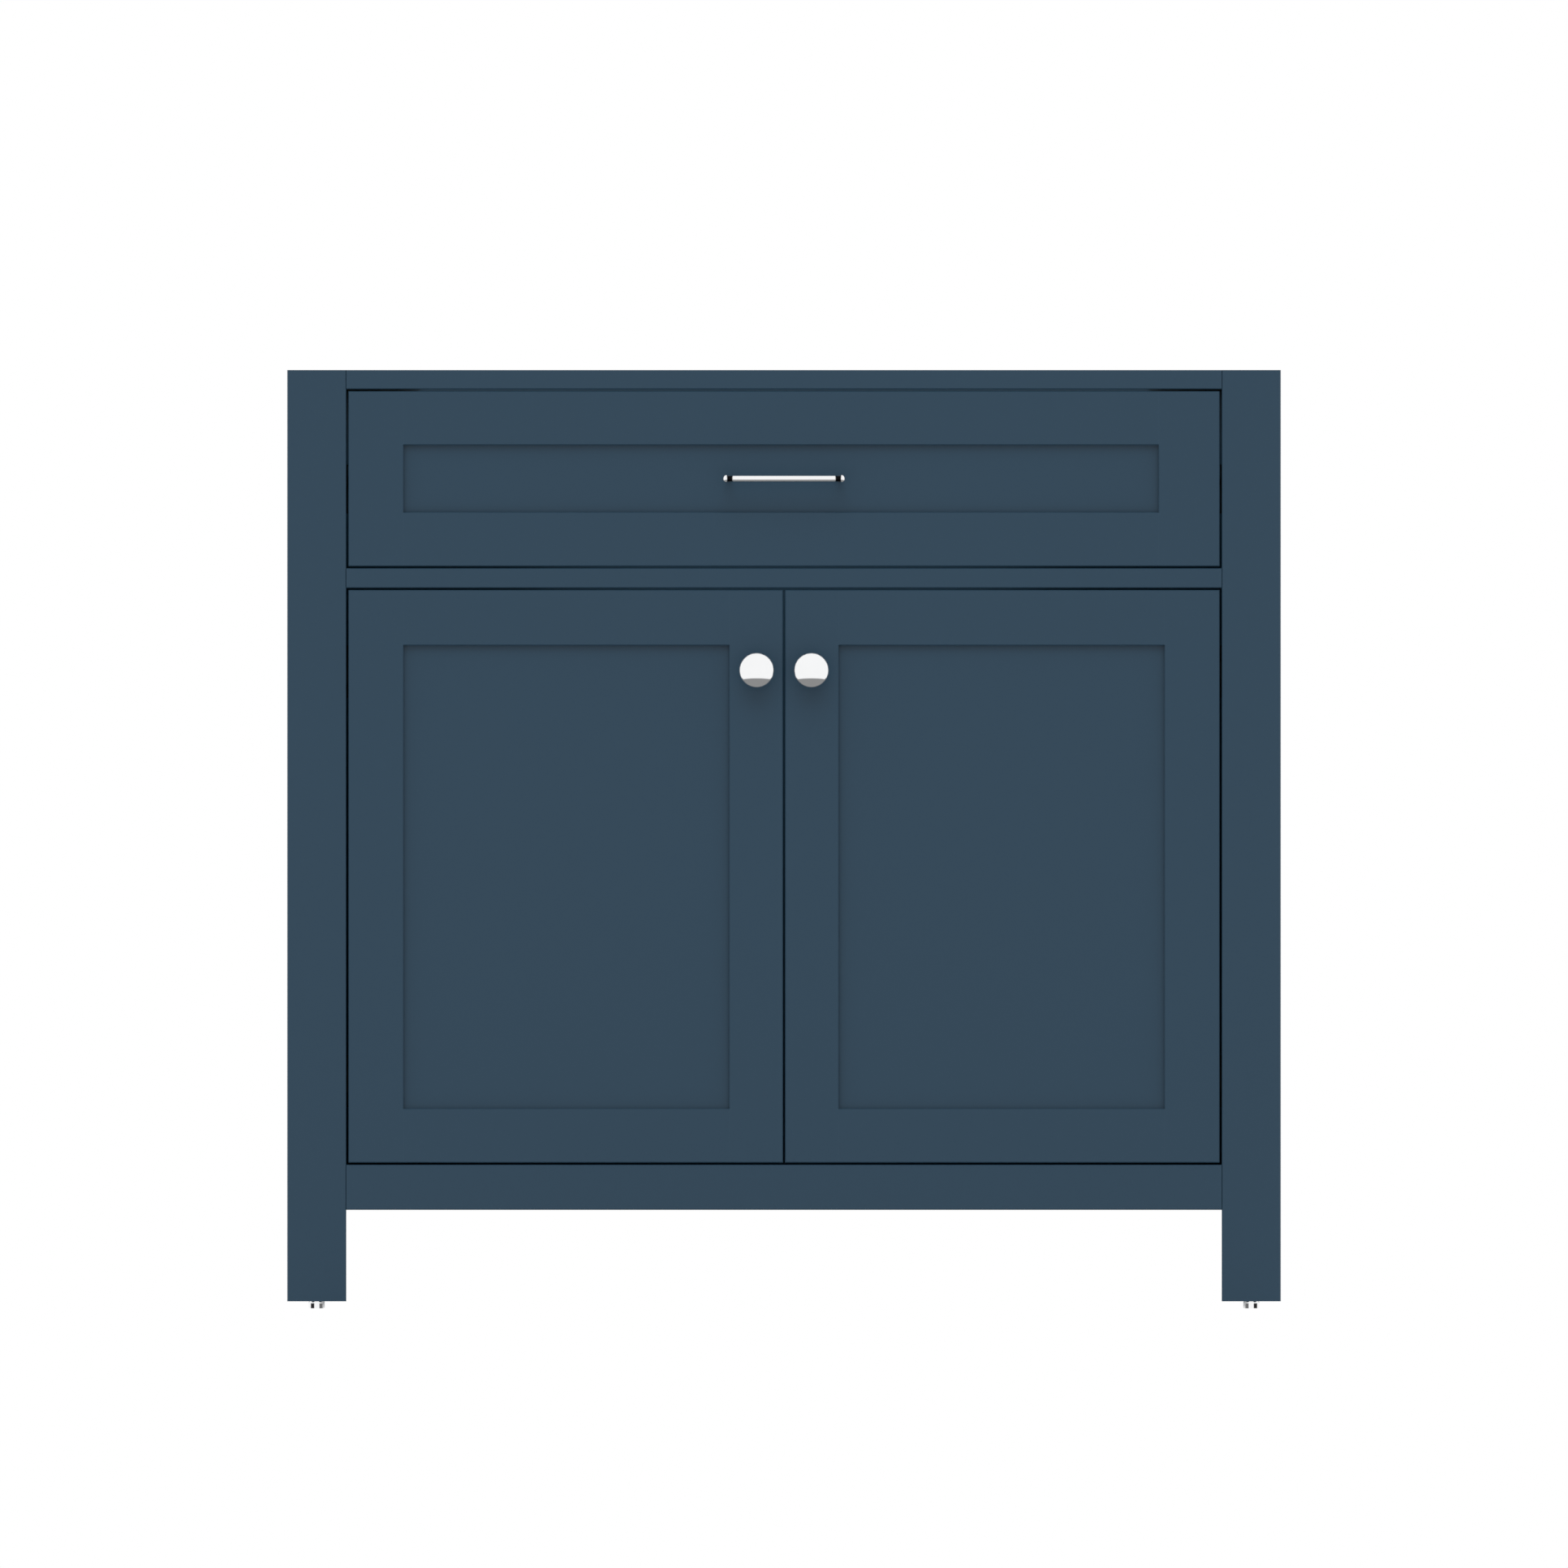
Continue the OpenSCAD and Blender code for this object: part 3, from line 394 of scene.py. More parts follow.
@dataclass
class NodeSheet:
    """A node tree, with short ways to add and join nodes."""

    tree: bpy.types.NodeTree

    def add(self, kind: str, **values: object) -> Node:
        """Adds a node; each value sets the attribute or else the input of that name."""
        node = self.tree.nodes.new(kind)
        for name, value in values.items():
            if hasattr(node, name):
                setattr(node, name, value)
            else:
                node.inputs[name.replace("_", " ")].default_value = value
        return node

    def feed(self, value: object, node: Node, name: str | int) -> None:
        """Joins an output to an input of a node, or gives the input a plain value."""
        if isinstance(value, Socket):
            self.tree.links.new(value, node.inputs[name])
        else:
            node.inputs[name].default_value = value

    def place(self, kind: str) -> Socket:
        """Output of a Texture Coordinate node, by its name."""
        return self.add("ShaderNodeTexCoord").outputs[kind]

    def maths(self, operation: str, first: object, second: object = 0.0) -> Socket:
        """Result of a Math node on two values, each a number or an output."""
        node = self.add("ShaderNodeMath", operation=operation)
        self.feed(first, node, 0)
        self.feed(second, node, 1)
        return node.outputs[0]

    def times(self, first: object, second: object) -> Socket:
        """Product of two values."""
        return self.maths("MULTIPLY", first, second)

    def plus(self, first: object, second: object) -> Socket:
        """Sum of two values."""
        return self.maths("ADD", first, second)

    def vectors(self, operation: str, first: object, second: object) -> Sockets:
        """Outputs of a Vector Math node on two vectors."""
        node = self.add("ShaderNodeVectorMath", operation=operation)
        self.feed(first, node, 0)
        self.feed(second, node, 1)
        return node.outputs

    def parts(self, vector: Socket) -> Sockets:
        """X, Y and Z of a vector."""
        node = self.add("ShaderNodeSeparateXYZ")
        self.feed(vector, node, 0)
        return node.outputs

    def noise(
        self, place: Socket, scale: object, detail: float = 2.0, rough: float = 0.5
    ) -> Socket:
        """Noise from 0 to 1 at a place, with a number or an output for its scale."""
        node = self.add("ShaderNodeTexNoise", Detail=detail, Roughness=rough)
        self.feed(place, node, "Vector")
        self.feed(scale, node, "Scale")
        return node.outputs["Fac"]

    def spread(self, value: Socket, source: Span, target: Span = (0.0, 1.0)) -> Socket:
        """Maps a value from one span smoothly to another, and holds it there."""
        node = self.add("ShaderNodeMapRange", interpolation_type="SMOOTHSTEP")
        self.feed(value, node, "Value")
        for name, number in zip(("From Min", "From Max", "To Min", "To Max"), source + target):
            self.feed(number, node, name)
        return node.outputs["Result"]

    def blend(self, share: Socket, first: object, second: object) -> Socket:
        """Colour between two colours, each a triple or an output."""
        node = self.add("ShaderNodeMix", data_type="RGBA", blend_type="MIX", clamp_factor=True)
        self.feed(share, node, 0)
        for number, value in ((6, first), (7, second)):
            self.feed((*value, 1.0) if isinstance(value, tuple) else value, node, number)
        return node.outputs[2]

    def stretched(self, place: Socket, scale: Colour) -> Socket:
        """Place with each axis multiplied by its own number."""
        node = self.add("ShaderNodeMapping", vector_type="POINT")
        self.feed(place, node, "Vector")
        self.feed(scale, node, "Scale")
        return node.outputs["Vector"]


@dataclass(frozen=True)
class GroupSocket:
    """Socket of a shader group.

    Args:
        name: Name that the socket shows.
        kind: Float, Color or Vector.
        value: Value of an input that nothing is joined to.
    """

    name: str
    kind: str
    value: object = None


class ShaderGroup:
    """Shader node group with named inputs and outputs, built once and placed many times."""

    name = "group"
    takes: tuple[GroupSocket, ...] = ()
    gives: tuple[GroupSocket, ...] = ()

    def __init__(self) -> None:
        """Builds the group's tree."""
        self.tree = bpy.data.node_groups.new(self.name, "ShaderNodeTree")
        for sockets, way in ((self.takes, "INPUT"), (self.gives, "OUTPUT")):
            for socket in sockets:
                made = self.tree.interface.new_socket(
                    socket.name, in_out=way, socket_type=f"NodeSocket{socket.kind}"
                )
                if socket.value is not None:
                    made.default_value = socket.value
        sheet = NodeSheet(self.tree)
        entry = sheet.add("NodeGroupInput")
        end = sheet.add("NodeGroupOutput")
        for name, socket in self.draw(sheet, entry.outputs).items():
            sheet.feed(socket, end, name)

    def draw(self, sheet: NodeSheet, takes: Sockets) -> dict:
        """Draws the inside; subclasses return each output's socket by name."""
        raise NotImplementedError

    def put(self, sheet: NodeSheet, **inputs: object) -> Sockets:
        """Places the group in a material.

        Args:
            sheet: Sheet of the material.
            inputs: Outputs or plain values by input name, with _ for a space.

        Returns:
            The outputs of the placed group.
        """
        node = sheet.add("ShaderNodeGroup", node_tree=self.tree)
        for name, value in inputs.items():
            sheet.feed(value, node, name.replace("_", " "))
        return node.outputs


class ToneDrift(ShaderGroup):
    """Slow change of tone: a colour times 1 plus or minus amount, by noise at two scales."""

    name = "tone_drift"
    takes = (
        GroupSocket("Place", "Vector"),
        GroupSocket("Colour", "Color"),
        GroupSocket("Amount", "Float", 0.05),
        GroupSocket("Size", "Float", 6.0),
    )
    gives = (GroupSocket("Colour", "Color"), GroupSocket("Mask", "Float"))

    def draw(self, sheet: NodeSheet, takes: Sockets) -> dict:
        """Scales the colour by 1 + amount * (2 * noise - 1)."""
        wide = sheet.noise(takes["Place"], takes["Size"], 3.0)
        fine = sheet.noise(takes["Place"], sheet.times(takes["Size"], 9.0), 2.0)
        both = sheet.plus(wide, sheet.times(fine, 0.5))
        mask = sheet.maths("SUBTRACT", sheet.times(both, 4 / 3), 1.0)
        scaled = sheet.add("ShaderNodeVectorMath", operation="SCALE")
        sheet.feed(takes["Colour"], scaled, 0)
        sheet.feed(sheet.plus(sheet.times(mask, takes["Amount"]), 1.0), scaled, "Scale")
        return {"Colour": scaled.outputs[0], "Mask": mask}


class FineRelief(ShaderGroup):
    """Small rounded waves of a sprayed or polished surface, as a bumped normal."""

    name = "fine_relief"
    takes = (
        GroupSocket("Place", "Vector"),
        GroupSocket("Size", "Float", 500.0),
        GroupSocket("Strength", "Float", 0.2),
        GroupSocket("Depth", "Float", 0.03 * MM),
    )
    gives = (GroupSocket("Normal", "Vector"),)

    def draw(self, sheet: NodeSheet, takes: Sockets) -> dict:
        """Bumps the surface by smooth noise."""
        bump = sheet.add("ShaderNodeBump")
        sheet.feed(sheet.noise(takes["Place"], takes["Size"], 1.0, 0.35), bump, "Height")
        sheet.feed(takes["Strength"], bump, "Strength")
        sheet.feed(takes["Depth"], bump, "Distance")
        return {"Normal": bump.outputs["Normal"]}


class EdgeRub(ShaderGroup):
    """Mask of convex and sharp edges, broken up by noise: how far a rounded normal turns."""

    name = "edge_rub"
    takes = (
        GroupSocket("Place", "Vector"),
        GroupSocket("Width", "Float", 1.2 * MM),
        GroupSocket("Break up", "Float", 0.6),
    )
    gives = (GroupSocket("Mask", "Float"),)

    def draw(self, sheet: NodeSheet, takes: Sockets) -> dict:
        """Spreads the dot product of the rounded and the true normal, and takes noise away."""
        rounded = sheet.add("ShaderNodeBevel", samples=4)
        sheet.feed(takes["Width"], rounded, "Radius")
        true = sheet.add("ShaderNodeNewGeometry").outputs["Normal"]
        level = sheet.vectors("DOT_PRODUCT", rounded.outputs[0], true)["Value"]
        mask = sheet.add("ShaderNodeMath", operation="SUBTRACT", use_clamp=True)
        sheet.feed(sheet.spread(level, (0.9995, 0.86)), mask, 0)
        noise = sheet.noise(takes["Place"], 240.0, 3.0)
        sheet.feed(sheet.times(noise, takes["Break up"]), mask, 1)
        return {"Mask": mask.outputs[0]}


class BoardGrain(ShaderGroup):
    """Birch veneer on plywood. The place has its grain along X and the thickness along Z.

    The faces show long streaks, a slow figure and short pores. Where the normal is square to
    the thickness the edge shows plies, as bands of the given thickness.
    """

    name = "board_grain"
    warp_stretch = (2.0, 9.0, 9.0)
    warp = 0.09
    figure_stretch = (1.1, 34.0, 34.0)
    streak_stretch = (5.0, 420.0, 420.0)
    pore_stretch = (60.0, 1900.0, 1900.0)
    takes = (
        GroupSocket("Place", "Vector"),
        GroupSocket("Normal", "Vector"),
        GroupSocket("Light", "Color", (0.72, 0.56, 0.37, 1.0)),
        GroupSocket("Dark", "Color", (0.50, 0.35, 0.20, 1.0)),
        GroupSocket("Ply", "Float", 1.3 * MM),
    )
    gives = (GroupSocket("Colour", "Color"), GroupSocket("Height", "Float"))

    def draw(self, sheet: NodeSheet, takes: Sockets) -> dict:
        """Mixes face and edge by the normal's Z part."""
        place = takes["Place"]
        wave = sheet.noise(sheet.stretched(place, self.warp_stretch), 1.0)
        lift = sheet.add("ShaderNodeCombineXYZ")
        sheet.feed(sheet.times(wave, self.warp), lift, 1)
        bent = sheet.vectors("ADD", place, lift.outputs[0])[0]
        figure = sheet.noise(sheet.stretched(bent, self.figure_stretch), 1.0, 3.0, 0.55)
        streak = sheet.noise(sheet.stretched(bent, self.streak_stretch), 1.0, 4.0, 0.6)
        pores = sheet.noise(sheet.stretched(place, self.pore_stretch), 1.0, 1.0)
        pore = sheet.spread(pores, (0.64, 0.74))
        tone = sheet.plus(sheet.times(figure, 0.62), sheet.times(streak, 0.5))
        face = sheet.blend(sheet.spread(tone, (0.40, 0.74)), takes["Light"], takes["Dark"])
        face = sheet.blend(sheet.times(pore, 0.35), face, takes["Dark"])
        layer = sheet.maths("DIVIDE", sheet.parts(place)[2], takes["Ply"])
        band = sheet.spread(sheet.maths("PINGPONG", layer, 1.0), (0.35, 0.65))
        uneven = sheet.plus(sheet.times(band, 0.8), sheet.times(streak, 0.3))
        edge = sheet.blend(uneven, takes["Light"], takes["Dark"])
        across_plies = sheet.maths("ABSOLUTE", sheet.parts(takes["Normal"])[2])
        colour = sheet.blend(sheet.spread(across_plies, (0.45, 0.6)), edge, face)
        return {"Colour": colour, "Height": sheet.maths("SUBTRACT", streak, pore)}


class Brushing(ShaderGroup):
    """Fine straight scratches along an axis, from noise that is long on that axis."""

    name = "brushing"
    takes = (
        GroupSocket("Place", "Vector"),
        GroupSocket("Stretch", "Vector", (20.0, 900.0, 900.0)),
    )
    gives = (GroupSocket("Mask", "Float"),)

    def draw(self, sheet: NodeSheet, takes: Sockets) -> dict:
        """Noise of the place times the stretch."""
        long = sheet.vectors("MULTIPLY", takes["Place"], takes["Stretch"])[0]
        return {"Mask": sheet.noise(long, 1.0, 4.0, 0.65)}


@dataclass
class Groups:
    """The shader groups, each built once."""

    drift: ToneDrift = field(default_factory=ToneDrift)
    relief: FineRelief = field(default_factory=FineRelief)
    rub: EdgeRub = field(default_factory=EdgeRub)
    grain: BoardGrain = field(default_factory=BoardGrain)
    brushing: Brushing = field(default_factory=Brushing)


# ---- Finishes ----


def blank_sheet(owner: Material | bpy.types.World) -> NodeSheet:
    """Emptied node tree of a material or of the world."""
    owner.use_nodes = True
    owner.node_tree.nodes.clear()
    return NodeSheet(owner.node_tree)


def open_sheet(name: str, **values: float) -> tuple[Material, NodeSheet, Node]:
    """Starts a material with only a Principled shader and its output.

    Args:
        name: Name of the material.
        values: Plain values of the shader's inputs, with _ for a space.

    Returns:
        The material, its sheet and its shader.
    """
    material = bpy.data.materials.new(name)
    sheet = blank_sheet(material)
    shader = sheet.add("ShaderNodeBsdfPrincipled", **values)
    sheet.feed(shader.outputs[0], sheet.add("ShaderNodeOutputMaterial"), "Surface")
    return material, sheet, shader


@dataclass(frozen=True)
class SprayedPaint:
    """Satin paint over primed wood: orange peel, slow tone drift and softly rubbed edges.

    Args:
        name: Name of the material.
        colour: Colour of the paint.
        rubbed: Colour that rubbed edges turn to.
        rub_width: Width of the rubbed edges.
        rub_share: How far they turn to it.
        roughness: Roughness of the paint.
        satin: How much the drift changes it.
        worn: How much rubbing changes it.
        specular: Strength of reflections.
        drift: Amount of tone drift.
        peel: Strength of the orange peel.
        peel_size: Waves of the orange peel in a metre, roughly.
        peel_depth: Depth of the waves.
    """

    name: str = "slate_blue_paint"
    colour: Colour = (0.0163, 0.0431, 0.0716)
    rubbed: Colour = (0.024, 0.053, 0.083)
    rub_width: float = 0.9 * MM
    rub_share: float = 0.6
    roughness: float = 0.40
    satin: float = 0.035
    worn: float = -0.08
    specular: float = 0.25
    drift: float = 0.03
    peel: float = 0.3
    peel_size: float = 620.0
    peel_depth: float = 0.05 * MM

    def material(self, groups: Groups) -> Material:
        """Builds the paint.

        Args:
            groups: Shared shader groups.

        Returns:
            The material.
        """
        material, sheet, shader = open_sheet(self.name, Specular_IOR_Level=self.specular)
        place = sheet.place("Object")
        drift = groups.drift.put(
            sheet, Place=place, Colour=(*self.colour, 1.0), Amount=self.drift, Size=5.0
        )
        rub = groups.rub.put(sheet, Place=place, Width=self.rub_width, Break_up=0.7)["Mask"]
        coat = sheet.blend(sheet.times(rub, self.rub_share), drift["Colour"], self.rubbed)
        sheet.feed(coat, shader, "Base Color")
        change = sheet.plus(sheet.times(drift["Mask"], self.satin), sheet.times(rub, self.worn))
        sheet.feed(sheet.plus(change, self.roughness), shader, "Roughness")
        relief = groups.relief.put(
            sheet, Place=place, Size=self.peel_size, Strength=self.peel, Depth=self.peel_depth
        )
        sheet.feed(relief["Normal"], shader, "Normal")
        return material


@dataclass(frozen=True)
class LacqueredBirch:
    """Clear-lacquered birch plywood, cut with its grain along one axis.

    Args:
        name: Name of the material.
        grain: Axis that the grain runs along.
        thickness: Axis across the plies.
        swapped: Span of Y where boards run the other way, or None.
        light: Colour of the early wood.
        dark: Colour of the late wood and of every other ply.
        roughness: Roughness of the lacquer between the streaks.
        streak: How much rougher a streak is.
        specular: Strength of reflections.
        tone: Amount of slow tone drift.
        relief: Strength of the grain's relief.
        relief_depth: Depth of the relief.
    """

    name: str
    grain: Axis
    thickness: Axis
    swapped: Span | None = None
    light: Colour = (0.70, 0.545, 0.355)
    dark: Colour = (0.53, 0.375, 0.215)
    roughness: float = 0.33
    streak: float = 0.16
    specular: float = 0.4
    tone: float = 0.07
    relief: float = 0.35
    relief_depth: float = 0.08 * MM

    def lined_up(self, sheet: NodeSheet, source: Socket, place: Socket) -> Socket:
        """Reorders the axes of a vector for the grain, by the place where boards swap.

        Args:
            sheet: Sheet of the material.
            source: Vector to reorder.
            place: Object place of the point.

        Returns:
            The vector, with grain and thickness exchanged inside the swapped span of Y.
        """
        split = sheet.parts(source)
        third = ({0, 1, 2} - {self.grain.value, self.thickness.value}).pop()

        def ordered(grain: Axis, thickness: Axis) -> Socket:
            """Vector whose X is along the grain and whose Z is along the thickness."""
            packed = sheet.add("ShaderNodeCombineXYZ")
            for number, axis in enumerate((grain.value, third, thickness.value)):
                sheet.feed(split[axis], packed, number)
            return packed.outputs[0]

        plain = ordered(self.grain, self.thickness)
        if self.swapped is None:
            return plain
        y = sheet.parts(place)[1]
        after = sheet.maths("GREATER_THAN", y, self.swapped[0])
        before = sheet.maths("LESS_THAN", y, self.swapped[1])
        choice = sheet.add("ShaderNodeMix", data_type="VECTOR")
        sheet.feed(sheet.times(after, before), choice, 0)
        sheet.feed(plain, choice, 4)
        sheet.feed(ordered(self.thickness, self.grain), choice, 5)
        return choice.outputs[1]

    def material(self, groups: Groups) -> Material:
        """Builds the wood.

        Args:
            groups: Shared shader groups.

        Returns:
            The material.
        """
        material, sheet, shader = open_sheet(self.name, Specular_IOR_Level=self.specular)
        place = sheet.place("Object")
        grain = groups.grain.put(
            sheet,
            Place=self.lined_up(sheet, place, place),
            Normal=self.lined_up(sheet, sheet.place("Normal"), place),
            Light=(*self.light, 1.0),
            Dark=(*self.dark, 1.0),
        )
        drift = groups.drift.put(
            sheet, Place=place, Colour=grain["Colour"], Amount=self.tone, Size=3.0
        )
        sheet.feed(drift["Colour"], shader, "Base Color")
        gloss = sheet.plus(sheet.times(grain["Height"], self.streak), self.roughness)
        sheet.feed(gloss, shader, "Roughness")
        bump = sheet.add("ShaderNodeBump", Strength=self.relief, Distance=self.relief_depth)
        sheet.feed(grain["Height"], bump, "Height")
        sheet.feed(bump.outputs["Normal"], shader, "Normal")
        return material


@dataclass(frozen=True)
class PlatedMetal:
    """Plated or polished metal with painted shade: darker where the piece's hollow attribute rises.

    Args:
        name: Name of the material.
        colour: Colour of the clean metal.
        smudge: Colour of the painted shade.
        roughness: Roughness of the clean metal.
        haze: How much rougher scratches make it.
        brush: Stretch of the scratches along the three axes.
        relief: Strength of the small waves.
        dull_ends: How far faces that look to the front are darkened and roughened, from 0 to 1:
            painted shade that keeps the gaps dark.
        dull_turn: Y of the normals between which that painted shade fades out.
        hollow_haze: How much rougher it is where shade is painted.
    """

    name: str
    colour: Colour
    smudge: Colour
    roughness: float
    haze: float
    brush: Colour
    relief: float
    dull_ends: float = 0.0
    dull_turn: Span = (-0.9, -0.7)
    hollow_haze: float = 0.35

    def material(self, groups: Groups) -> Material:
        """Builds the metal.

        Args:
            groups: Shared shader groups.

        Returns:
            The material.
        """
        material, sheet, shader = open_sheet(self.name, Metallic=1.0)
        place = sheet.place("Object")
        drift = groups.drift.put(
            sheet, Place=place, Colour=(*self.colour, 1.0), Amount=0.03, Size=22.0
        )
        # Painted shade: the mesh's shade attribute darkens the colour towards the shade colour and
        # roughens it.
        hollow = sheet.add("ShaderNodeAttribute", attribute_name="hollow").outputs["Fac"]
        # Painted shade: faces that look to the front, such as hardware ends in the gaps, darken
        # towards the shade colour.
        if self.dull_ends:
            y = sheet.parts(sheet.place("Normal"))[1]
            ends = sheet.spread(y, self.dull_turn, (self.dull_ends, 0.0))
            hollow = sheet.maths("MAXIMUM", hollow, ends)
        sheet.feed(sheet.blend(hollow, drift["Colour"], self.smudge), shader, "Base Color")
        brushing = groups.brushing.put(sheet, Place=place, Stretch=self.brush)
        scratch = sheet.spread(brushing["Mask"], (0.35, 0.75), (0.0, self.haze))
        matt = sheet.plus(scratch, sheet.times(hollow, self.hollow_haze))
        sheet.feed(sheet.plus(matt, self.roughness), shader, "Roughness")
        relief = groups.relief.put(
            sheet, Place=place, Size=900.0, Strength=self.relief, Depth=0.02 * MM
        )
        sheet.feed(relief["Normal"], shader, "Normal")
        return material


BRIGHT_ZINC = PlatedMetal(
    name="bright_zinc",
    colour=(0.56, 0.565, 0.57),
    smudge=(0.02, 0.02, 0.02),
    roughness=0.30,
    haze=0.07,
    brush=(700.0, 12.0, 700.0),
    relief=0.03,
    # Front-facing ends get painted shade, so the gaps stay dark.
    dull_ends=0.97,
)
POLISHED_CHROME = PlatedMetal(
    name="polished_chrome",
    colour=(0.83, 0.835, 0.84),
    smudge=(0.006, 0.006, 0.007),
    roughness=0.045,
    haze=0.035,
    brush=(90.0, 90.0, 900.0),
    relief=0.02,
)


@dataclass
class Finishes:
    """Every finish of the cabinet, built from the shared groups.

    Args:
        groups: Shared shader groups.
        boards: Birch materials by the way that they are cut.
    """

    groups: Groups = field(default_factory=Groups)
    boards: dict[tuple, Material] = field(default_factory=dict)

    def __post_init__(self) -> None:
        """Builds the paint and the metals, by their record slots."""
        kinds = {Slot.PAINT: SprayedPaint(), Slot.ZINC: BRIGHT_ZINC, Slot.CHROME: POLISHED_CHROME}
        self.plain = {slot.value: kind.material(self.groups) for slot, kind in kinds.items()}

    def board(self, grain: Axis, thickness: Axis, swapped: Span | None) -> Material:
        """Birch with its grain and plies along the given axes, built once for each way.

        Args:
            grain: Axis that the grain runs along.
            thickness: Axis across the plies.
            swapped: Span of Y where boards run the other way, or None.

        Returns:
            The material.
        """
        key = (grain, thickness, swapped)
        if key not in self.boards:
            name = f"birch_{grain.name}_{thickness.name}".lower() + ("_swap" if swapped else "")
            self.boards[key] = LacqueredBirch(name, *key).material(self.groups)
        return self.boards[key]


def shown(name: str, data: bpy.types.ID) -> bpy.types.Object:
    """New object in the scene, at the origin, for a mesh, a light or a camera."""
    made = bpy.data.objects.new(name, data)
    bpy.context.scene.collection.objects.link(made)
    return made


@dataclass
class Maker:
    """Turns patches into pieces of the scene and keeps count of them.

    Args:
        finishes: Finishes to dress them with.
        sharp_deg: Edges that turn by more than this stay sharp.
        made: Names of the pieces made.
    """

    finishes: Finishes
    sharp_deg: float = 34.0
    made: list[str] = field(default_factory=list)

    def piece(
        self, name: str, patches: list[Patch], body: str, slot: Slot, stands_for: str = ""
    ) -> None:
        """Makes one piece that rides on a body, with its place in its mesh.

        Args:
            name: Name of the piece.
            patches: Its surface.
            body: Body that it moves with.
            slot: Record slot that it takes its finish from.
            stands_for: Node that it is shown instead of, if any.
        """
        points, hollow, corners, uv, totals = welded(joined(patches))
        mesh = bpy.data.meshes.new(name)
        mesh.vertices.add(len(points))
        mesh.loops.add(len(corners))
        mesh.polygons.add(len(totals))
        mesh.vertices.foreach_set("co", points.astype(np.float32).ravel())
        mesh.loops.foreach_set("vertex_index", corners.astype(np.int32))
        starts = np.concatenate([[0], np.cumsum(totals)[:-1]]).astype(np.int32)
        mesh.polygons.foreach_set("loop_start", starts)
        mesh.update(calc_edges=True)
        mesh.validate()
        mesh.uv_layers.new(name="surface").data.foreach_set("uv", uv.astype(np.float32).ravel())
        # Painted shade values, which the metal finishes read.
        shade_values = mesh.attributes.new("hollow", "FLOAT", "POINT")
        shade_values.data.foreach_set("value", hollow.astype(np.float32))
        mesh.polygons.foreach_set("use_smooth", np.ones(len(totals), dtype=bool))
        mesh.set_sharp_from_angle(angle=math.radians(self.sharp_deg))
        mesh.materials.append(self.finishes.plain[slot.value])
        made = shown(name, mesh)
        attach(made, body)
        if stands_for:
            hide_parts(stands_for)
        self.made.append(name)
        LOG.info("%s: %d faces on %s", name, len(totals), body)


@dataclass
class Hardware:
    """Knobs, pulls and other hardware.

    Args:
        maker: Maker of the pieces.
    """

    maker: Maker


# ---- Carried-over nodes ----


def node_span(name: str, axis: Axis) -> Span:
    """Lowest and highest place of a node along an axis."""
    low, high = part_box(name)
    return low[axis.value], high[axis.value]


def middle(name: str, axis: Axis) -> float:
    """Middle of a node's box along an axis."""
    low, high = node_span(name, axis)
    return (low + high) / 2


BOARD_CUTS = {
    "drawer_box_front": (Axis.X, Axis.Y),
    "drawer_box_left_side": (Axis.Y, Axis.X),
    "drawer_box_right_side": (Axis.Y, Axis.X),
    "drawer_well_boards": (Axis.X, Axis.Y),
    "drawer_box_bottom": (Axis.X, Axis.Z),
}
EASED = ("drawer_box_left_side", "drawer_box_right_side", "drawer_well_boards")


@dataclass
class Joinery:
    """Posts, rails, boards and panels, which keep their shapes.

    BOARD_CUTS has the axes of the grain and of the plies for each node of birch, and EASED the
    nodes whose sawn edges are eased.

    Args:
        finishes: Finishes to dress them with.
        ease: Width of the eased edges.
        board_t: Thickness of the drawer's boards.
    """

    finishes: Finishes
    ease: float = 0.5 * MM
    board_t: float = 12.0 * MM

    def dress(self) -> None:
        """Gives every carried-over node its finish."""
        slots = {row["node"]: row["material_slot"] for row in frame["record"]["subparts"]}
        finishes = self.finishes
        for name, node in sorted(frame["nodes"].items()):
            cut = BOARD_CUTS.get(name)
            swapped = self.side_board_span() if name == "drawer_well_boards" else None
            finish = finishes.board(*cut, swapped) if cut else finishes.plain[slots[name]]
            for material_slot in node.material_slots:
                material_slot.material = finish
            if name in EASED:
                self.ease_edges(node)
        LOG.info("dressed %d nodes", len(frame["nodes"]))

    def side_board_span(self) -> Span:
        """Span of Y where the well's boards run from front to back: between its cross boards."""
        low, high = node_span("drawer_well_boards", Axis.Y)
        return low + self.board_t, high - self.board_t

    def ease_edges(self, node: bpy.types.Object) -> None:
        """Joins a node's loose triangles into flat faces and rounds its edges, live."""
        weld = node.modifiers.new("weld", "WELD")
        weld.merge_threshold = 1e-6
        flat = node.modifiers.new("flat", "DECIMATE")
        flat.decimate_type = "DISSOLVE"
        flat.angle_limit = math.radians(1)
        bevel = node.modifiers.new("ease", "BEVEL")
        bevel.width = self.ease
        bevel.segments = 2
        bevel.limit_method = "ANGLE"
        bevel.angle_limit = math.radians(40)
        bevel.use_clamp_overlap = True


# ---- Knobs ----


